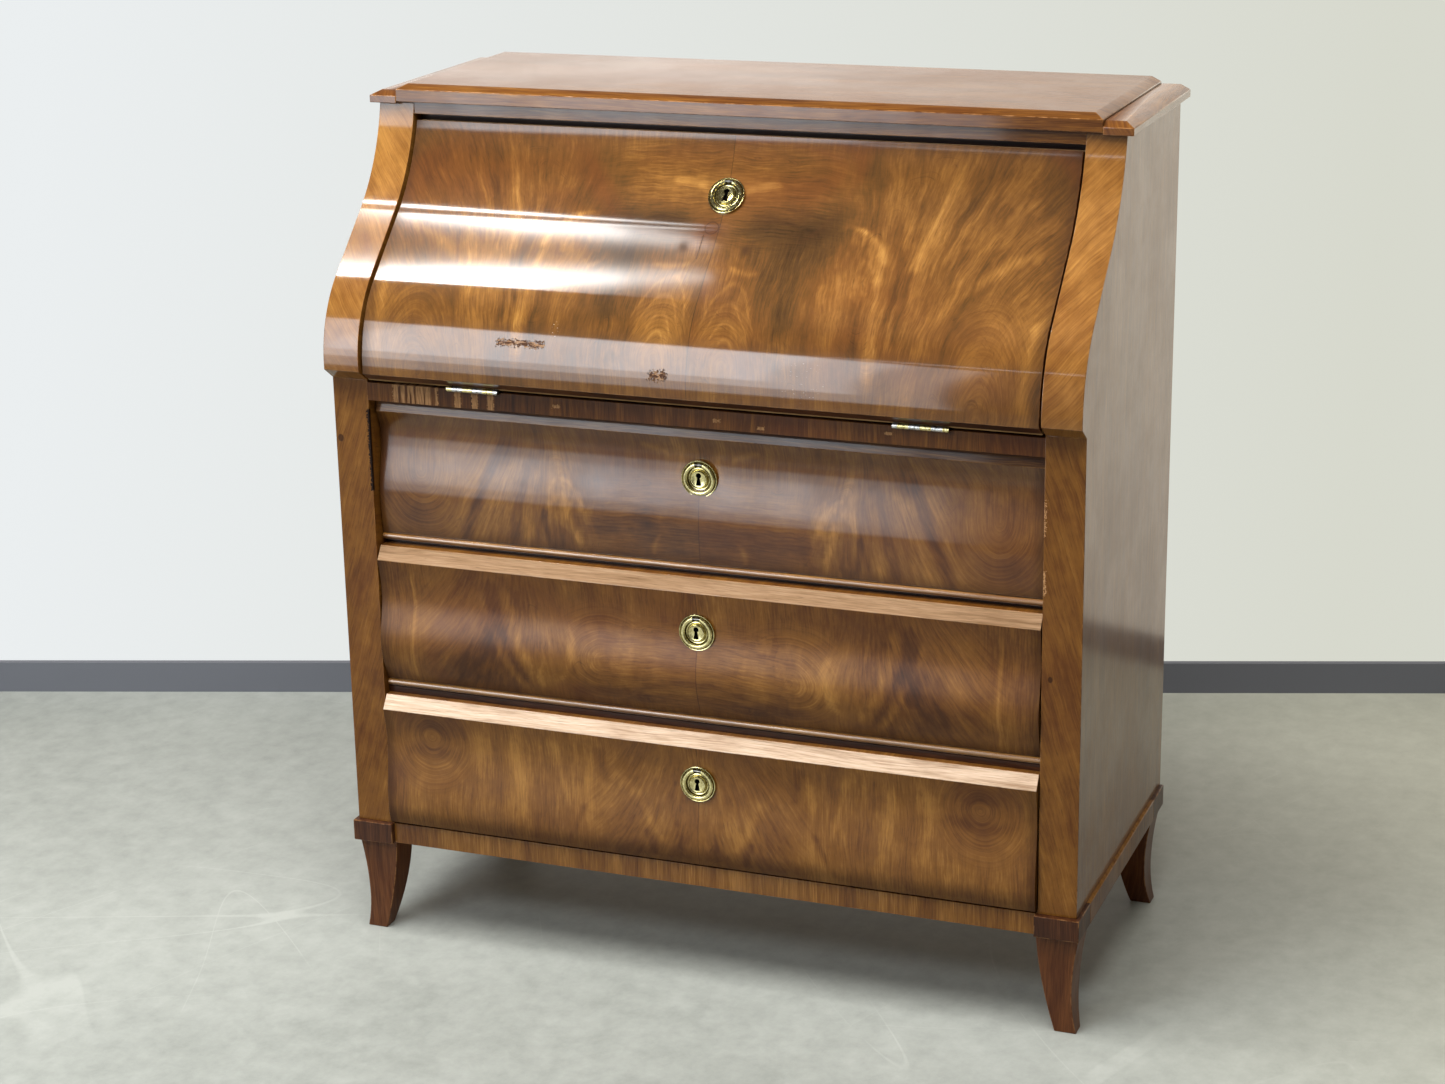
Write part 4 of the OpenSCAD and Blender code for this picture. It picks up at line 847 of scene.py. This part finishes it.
# ---- Brass and steel ----
# Each lock has a turned brass plate, pinned over it, with a keyhole in its boss and a drop ring
# that hangs on a steel pin in a notch at the top. Locks, bolts and stays are steel, and the butt
# hinges are brass with steel in every other knuckle. All are screwed or let into the wood.
BRASS = ((0.3, (0.42, 0.34, 0.13)), (0.6, (0.74, 0.66, 0.34)))
BRASS_DIRT = (0.06, 0.042, 0.014)
brass = Finish("old_brass", Metallic=1)
tarnish = brass.specks(260, 4, 0.7)
recess = brass.node("Attribute", {"attribute_name": WEAR}, output="Fac")
dirt = brass.step(recess * 0.6 + tarnish, 0.55, 0.95)
brass.set(Base_Color=brass.mix(dirt, brass.ramp(tarnish, *BRASS), BRASS_DIRT),
          Roughness=tarnish * 0.25 + dirt * 0.35 + 0.1)
brass.bump(tarnish, 0.00006)
steel = Finish("old_steel", Metallic=1)
rust = steel.specks(200, 4, 0.7)
steel.set(Base_Color=steel.ramp(rust, (0.35, (0.13, 0.11, 0.09)), (0.6, (0.42, 0.41, 0.39))),
          Roughness=rust * 0.4 + 0.18)
# The keyhole's walls and floor are black: painted shade inside the hole
keyhole_painted_shade = Finish("keyhole_painted_shade", Roughness=1, Specular_IOR_Level=0,
                      Base_Color=(0.003, 0.0025, 0.002))

# Turned outline of a plate: radius and height in millimetres, from the rim to the boss
PLATE = ((24.25, 0), (24.25, 1.7), (24, 2.25), (23.4, 2.6), (22.8, 2.45), (22.3, 1.7),
         (21.9, 1), (21, 0.9), (14.9, 0.9), (14.5, 1.35), (13.9, 1.6), (13.2, 1.45),
         (12.8, 1.2), (12.2, 1.3), (11.7, 2.1), (11.2, 3.2), (10.7, 3.9), (10.1, 4.3), (9.5, 4.3),
         (9, 4.05))
RIM_IN, RIM_FOOT = 22.3, 1.3  # dirt lies inside the rim and below this height
PLATE_STEPS, EYE_STEPS, RING_STEPS, RING_TURN_STEPS = 72, 24, 14, 64
# The keyhole: its eye, its skirt, how far it flares and is eased, and its floor
EYE_R, EYE_UP, SKIRT_HALF, SKIRT_DOWN = 3.5, 4.7, 3.5, 7.9
HOLE_FLARE, HOLE_EASE, HOLE_FLOOR = 1.03, 0.25, 0.3
# The ring: its middle, half its width, its underside, its upright edge, its top and its notch
RING_R, RING_HALF, RING_LOW, RING_EDGE, RING_TOP, NOTCH = 18.7, 2.8, 1.7, 1, 4.7, 5.2
PIN_HEIGHT, PIN_R, PIN_LONG = 3.4, 0.8, 13
LUG = (3, 2.6, 3.6)


def seat_of(node):
    """The frame a plate was made in: its back's middle, x to the right and z out of the face."""
    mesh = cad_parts[node].data
    flats = {}
    for face in mesh.polygons:
        flats.setdefault(tuple(round(c, 2) for c in face.normal), []).append(face)
    back = max((flat for flat in flats.values() if flat[0].normal.y > 0),
               key=lambda flat: sum(face.area for face in flat))
    right = Vector((1, 0, 0))
    out = -sum((face.normal * face.area for face in back), Vector()).normalized()
    up = out.cross(right).normalized()
    points = [mesh.vertices[i].co for face in back for i in face.vertices]
    seat = out * points[0].dot(out)
    for way in (right, up):
        reach = [p.dot(way) for p in points]
        seat += way * ((min(reach) + max(reach)) / 2)
    turned = Matrix((right, up, out)).transposed().to_4x4()
    return Matrix.Translation(seat) @ turned @ Matrix.Scale(MM, 4)


def keyhole():
    """Points round a keyhole, starting on the right: an eye over a flared skirt."""
    neck = radians(-60)
    eye = [(EYE_R * cos(a), EYE_UP + EYE_R * sin(a)) for a in between(neck, pi - neck, EYE_STEPS)]
    right, left = (SKIRT_HALF, -SKIRT_DOWN), (-SKIRT_HALF, -SKIRT_DOWN)
    path = [right] + eye + [left, right]
    rays = []
    for i in range(PLATE_STEPS):
        a = 2 * pi * i / PLATE_STEPS
        c, s = cos(a), sin(a)
        best = 0.0
        for (x0, y0), (x1, y1) in zip(path, path[1:]):
            cross = c * (y1 - y0) - s * (x1 - x0)
            if abs(cross) > 1e-9:
                reach = (x0 * (y1 - y0) - y0 * (x1 - x0)) / cross
                share = (x0 * s - y0 * c) / cross
                if reach > 0 and -1e-6 <= share <= 1 + 1e-6:
                    best = max(best, reach)
        rays.append((best * c, best * s))
    return rays


def turned_plate():
    """A plate spun from its outline, with the keyhole cut down through its boss; its walls and
    floor are painted black as shade.
    """
    bm = bmesh.new()
    points = [bm.verts.new((r, 0, h)) for r, h in PLATE]
    edges = [bm.edges.new(pair) for pair in zip(points, points[1:])]
    bmesh.ops.spin(bm, geom=points + edges, cent=(0, 0, 0), axis=(0, 0, 1), angle=2 * pi,
                   steps=PLATE_STEPS, use_merge=True, use_duplicate=False)
    bmesh.ops.remove_doubles(bm, verts=bm.verts, dist=1e-4)
    boss_r, boss_top = PLATE[-1]
    outer = sorted((v for v in bm.verts if v.co.xy.length < boss_r + 0.1),
                   key=lambda v: (atan2(v.co.y, v.co.x) + 0.01) % (2 * pi))
    hole = keyhole()
    for height, grow in ((boss_top, HOLE_FLARE), (boss_top - HOLE_EASE, 1), (HOLE_FLOOR, 1)):
        inner = [bm.verts.new((x * grow, y * grow, height)) for x, y in hole]
        for i in range(PLATE_STEPS):
            bm.faces.new((outer[i - 1], outer[i], inner[i], inner[i - 1]))
        outer = inner
    bmesh.ops.holes_fill(bm, edges=[e for e in bm.edges if e.is_boundary], sides=0)
    bmesh.ops.recalc_face_normals(bm, faces=bm.faces)
    wear = wear_of(bm)
    for face in bm.faces:
        middle = face.calc_center_median()
        face.material_index = int(all(
            v.co.xy.length < boss_r and v.co.z < boss_top - HOLE_EASE / 2 for v in face.verts))
        face[wear] = float(middle.z < RIM_FOOT and middle.xy.length < RIM_IN)
    return bm


def drop_ring():
    """A moulded ring, open at the top where its pin shows."""
    gap = asin(NOTCH / RING_R)
    bm = bmesh.new()
    edge = RING_LOW + RING_EDGE
    section = [(RING_HALF, RING_LOW), (RING_HALF, edge)]
    section += [(RING_HALF * cos(a), edge + (RING_TOP - edge) * sin(a))
                for a in between(0, pi, RING_STEPS)[1:-1]]
    section += [(-RING_HALF, edge), (-RING_HALF, RING_LOW)]
    face = bm.faces.new([bm.verts.new((RING_R + r, 0, h)) for r, h in section])
    bmesh.ops.rotate(bm, matrix=Matrix.Rotation(pi / 2 + gap, 3, "Z"), verts=bm.verts)
    bmesh.ops.spin(bm, geom=list(face.verts) + list(face.edges) + [face], cent=(0, 0, 0),
                   axis=(0, 0, 1), angle=2 * (pi - gap), steps=RING_TURN_STEPS,
                   use_duplicate=False)
    bmesh.ops.remove_doubles(bm, verts=bm.verts, dist=1e-4)
    bmesh.ops.recalc_face_normals(bm, faces=bm.faces)
    return bm


def ring_pin():
    """The pin a ring swings on, with the lug that holds it."""
    bm = bmesh.new()
    bmesh.ops.create_cone(bm, cap_ends=True, segments=20, radius1=PIN_R, radius2=PIN_R,
                          depth=PIN_LONG)
    bmesh.ops.rotate(bm, matrix=Matrix.Rotation(pi / 2, 3, "Y"), verts=bm.verts)
    bmesh.ops.translate(bm, vec=(0, RING_R, PIN_HEIGHT), verts=bm.verts)
    lug = bmesh.ops.create_cube(bm, size=1)["verts"]
    bmesh.ops.scale(bm, vec=LUG, verts=lug)
    bmesh.ops.translate(bm, vec=(0, RING_R, LUG[2] / 2), verts=lug)
    return bm


for place in ("flap", "upper", "middle", "low"):
    body = place if place == "flap" else f"{place}_drawer"
    seat = seat_of(f"{place}_escutcheon")
    for name, bm, rides, slot, stands_for, *finishes in (
            ("plate", turned_plate(), body, "brass", [f"{place}_escutcheon"], brass, keyhole_painted_shade),
            ("pin", ring_pin(), body, "steel", [], steel),
            ("bail", drop_ring(), f"{place}_ring", "brass", [f"{place}_ring"], brass)):
        bmesh.ops.transform(bm, matrix=seat, verts=bm.verts)
        settle(f"{place}_{name}", bm, rides, slot, stands_for, *finishes)
    dress(steel, f"{place}_lock", f"{place}_bolt")


# Each knuckle of the hinges is steel or brass in turn
FIRST_KNUCKLE, KNUCKLE_LONG = 0.2685, 0.0142
HINGE_BRASS = ((0.35, (0.36, 0.29, 0.11)), (0.6, (0.7, 0.62, 0.32)))
HINGE_STEEL = ((0.35, (0.2, 0.19, 0.18)), (0.6, (0.62, 0.62, 0.6)))
knuckles = Finish("hinge_metal", Metallic=1)
turns = (abs(knuckles.x) - FIRST_KNUCKLE) / KNUCKLE_LONG
odd = knuckles.step((turns * 0.5).math("FRACT"), 0.49, 0.51)
spots = knuckles.specks(240, 4, 0.7)
knuckles.set(Base_Color=knuckles.mix(odd, knuckles.ramp(spots, *HINGE_BRASS),
                                     knuckles.ramp(spots, *HINGE_STEEL)),
             Roughness=spots * 0.3 + 0.15)
dress(knuckles, "hinge_leaves_flap", "hinge_leaves_case")
dress(steel, "hinge_pins", "stay_feet", "stay_ears",
      "stay_arm_left", "stay_arm_right", "stay_link_left", "stay_link_right")


# ---- Light and camera ----
# Two long tubes and a window light the desk from the left, and a bright ceiling fills the
# shadows. The room around is a pale wall to the eye, with painted light paler on its left and
# darker and warmer on its right, and gives its light low behind the desk.
WARM_WHITE, DAYLIGHT = (1, 0.985, 0.96), (0.86, 0.93, 1)


def lamp(name, size_x, size_y, place, target, power, colour, turn=0):
    """A flat light that faces its target and isn't seen itself."""
    light = bpy.data.lights.new(name, "AREA")
    light.shape = "RECTANGLE"
    light.size, light.size_y = size_x, size_y
    light.energy = power
    light.color = colour
    made = put(name, light)
    made.location = place
    made.rotation_mode = "QUATERNION"
    aim = (Vector(target) - Vector(place)).to_track_quat("-Z", "Y")
    made.rotation_quaternion = aim @ Quaternion((0, 0, 1), radians(turn))
    made.visible_camera = False
    return made


# A tube is three lights in one, so it fades towards its ends; its watts are per metre
TUBE_X, TUBE_Z, TUBE_WIDE, TUBE_POWER = -1.56, 2.6, 0.055, 2.7
for name, y, turn in (("tube_front", -0.572, 4.2), ("tube_back", -0.37, -4.4)):
    for part, reach in enumerate((1.22, 1.5, 1.84)):
        place = (TUBE_X, y, TUBE_Z + 0.01 * part)
        tube = lamp(f"{name}_{part}", reach, TUBE_WIDE, place, (*place[:2], 0),
                    TUBE_POWER * reach, WARM_WHITE, turn)
        tube.data.shape = "ELLIPSE"
# The window is three panes with one upper edge, so it fades sideways; watts per square metre
WINDOW_X, WINDOW_Y, WINDOW_TOP, WINDOW_POWER = -1.42, -3, 2.5, 11
for pane, (width, height) in enumerate(((1, 1.6), (1.4, 1.9), (1.8, 2.3))):
    place = (WINDOW_X, WINDOW_Y - 0.01 * pane, WINDOW_TOP - 0.03 * pane - height / 2)
    glass = lamp(f"window_{pane}", width, height, place, (-0.22, 0.1, place[2]),
                 WINDOW_POWER * width * height, DAYLIGHT)
    glass.visible_diffuse = False
daylight = lamp("daylight", 1.4, 0.8, (WINDOW_X, WINDOW_Y, 2.7), (-0.1, 0, 0.5), 52, DAYLIGHT)
daylight.visible_glossy = False
lamp("window_bar", 2.2, 0.03, (0.2, WINDOW_Y, 2.45), (0.1, 0, 1.4), 1.6, (0.84, 0.92, 1))
ceiling = lamp("ceiling", 3, 2, (-0.15, -1.1, 3.4), (0.1, 0.1, 0.3), 184, (1, 0.985, 0.95))
ceiling.visible_glossy = False

# The walls: where one tint gives way to the other from left to right, and both tints. To the eye
# the wall is paler on the left and darker and warmer on the right, which is painted light
WALL_WITH_PAINTED_LIGHT = (-0.56, -0.14, (0.83, 0.86, 0.87), (0.68, 0.69, 0.61))
LIGHTING = (-0.4, 0.4, (1, 0.94, 0.87), (1, 0.9, 0.72))
world = bpy.data.worlds.new("room")
bpy.context.scene.world = world
world.use_nodes = True
room = Nodes(world.node_tree, "Generated")
seen_wall_painted_light, lighting_wall = (
    room.mix(room.node("MapRange", sockets={"Value": room.x, "From Min": left, "From Max": right}),
             left_paint, right_paint)
    for left, right, left_paint, right_paint in (WALL_WITH_PAINTED_LIGHT, LIGHTING))
low = 1 - (abs(room.z) * 1.6).math("MINIMUM", 1)
behind = room.y.math("MAXIMUM", 0)
# The wall the camera sees carries painted light: paler on the left, darker and warmer on the right
seen = room.node("Background", sockets={"Color": seen_wall_painted_light})
lighting = room.node("Background", sockets={
    "Color": lighting_wall, "Strength": behind * low * 1.55 + 0.11})
feed(room.tree.nodes["World Output"].inputs["Surface"], room.node("MixShader", sockets={
    "Fac": room.node("LightPath", output="Is Camera Ray"), 1: lighting, 2: seen}))
bpy.context.scene.view_settings.view_transform = "Standard"

camera = bpy.data.cameras.new("camera")
camera.lens = 71.99
camera.sensor_width = 36
tripod = put("camera", camera)
CAMERA_PLACE = (1.2898, -3.42965, 1.7005)
YAW, PITCH, ROLL = 0.3725, -0.3073, -0.0186
level = Vector((cos(YAW), sin(YAW), 0))
ahead = Vector((-sin(YAW), cos(YAW), 0))
forward = ahead * cos(PITCH) + Vector((0, 0, sin(PITCH)))
above = level.cross(forward)
right = level * cos(ROLL) + above * sin(ROLL)
up = above * cos(ROLL) - level * sin(ROLL)
facing = Matrix((right, up, -forward)).transposed().to_4x4()
tripod.matrix_world = Matrix.Translation(CAMERA_PLACE) @ facing
bpy.context.scene.camera = tripod
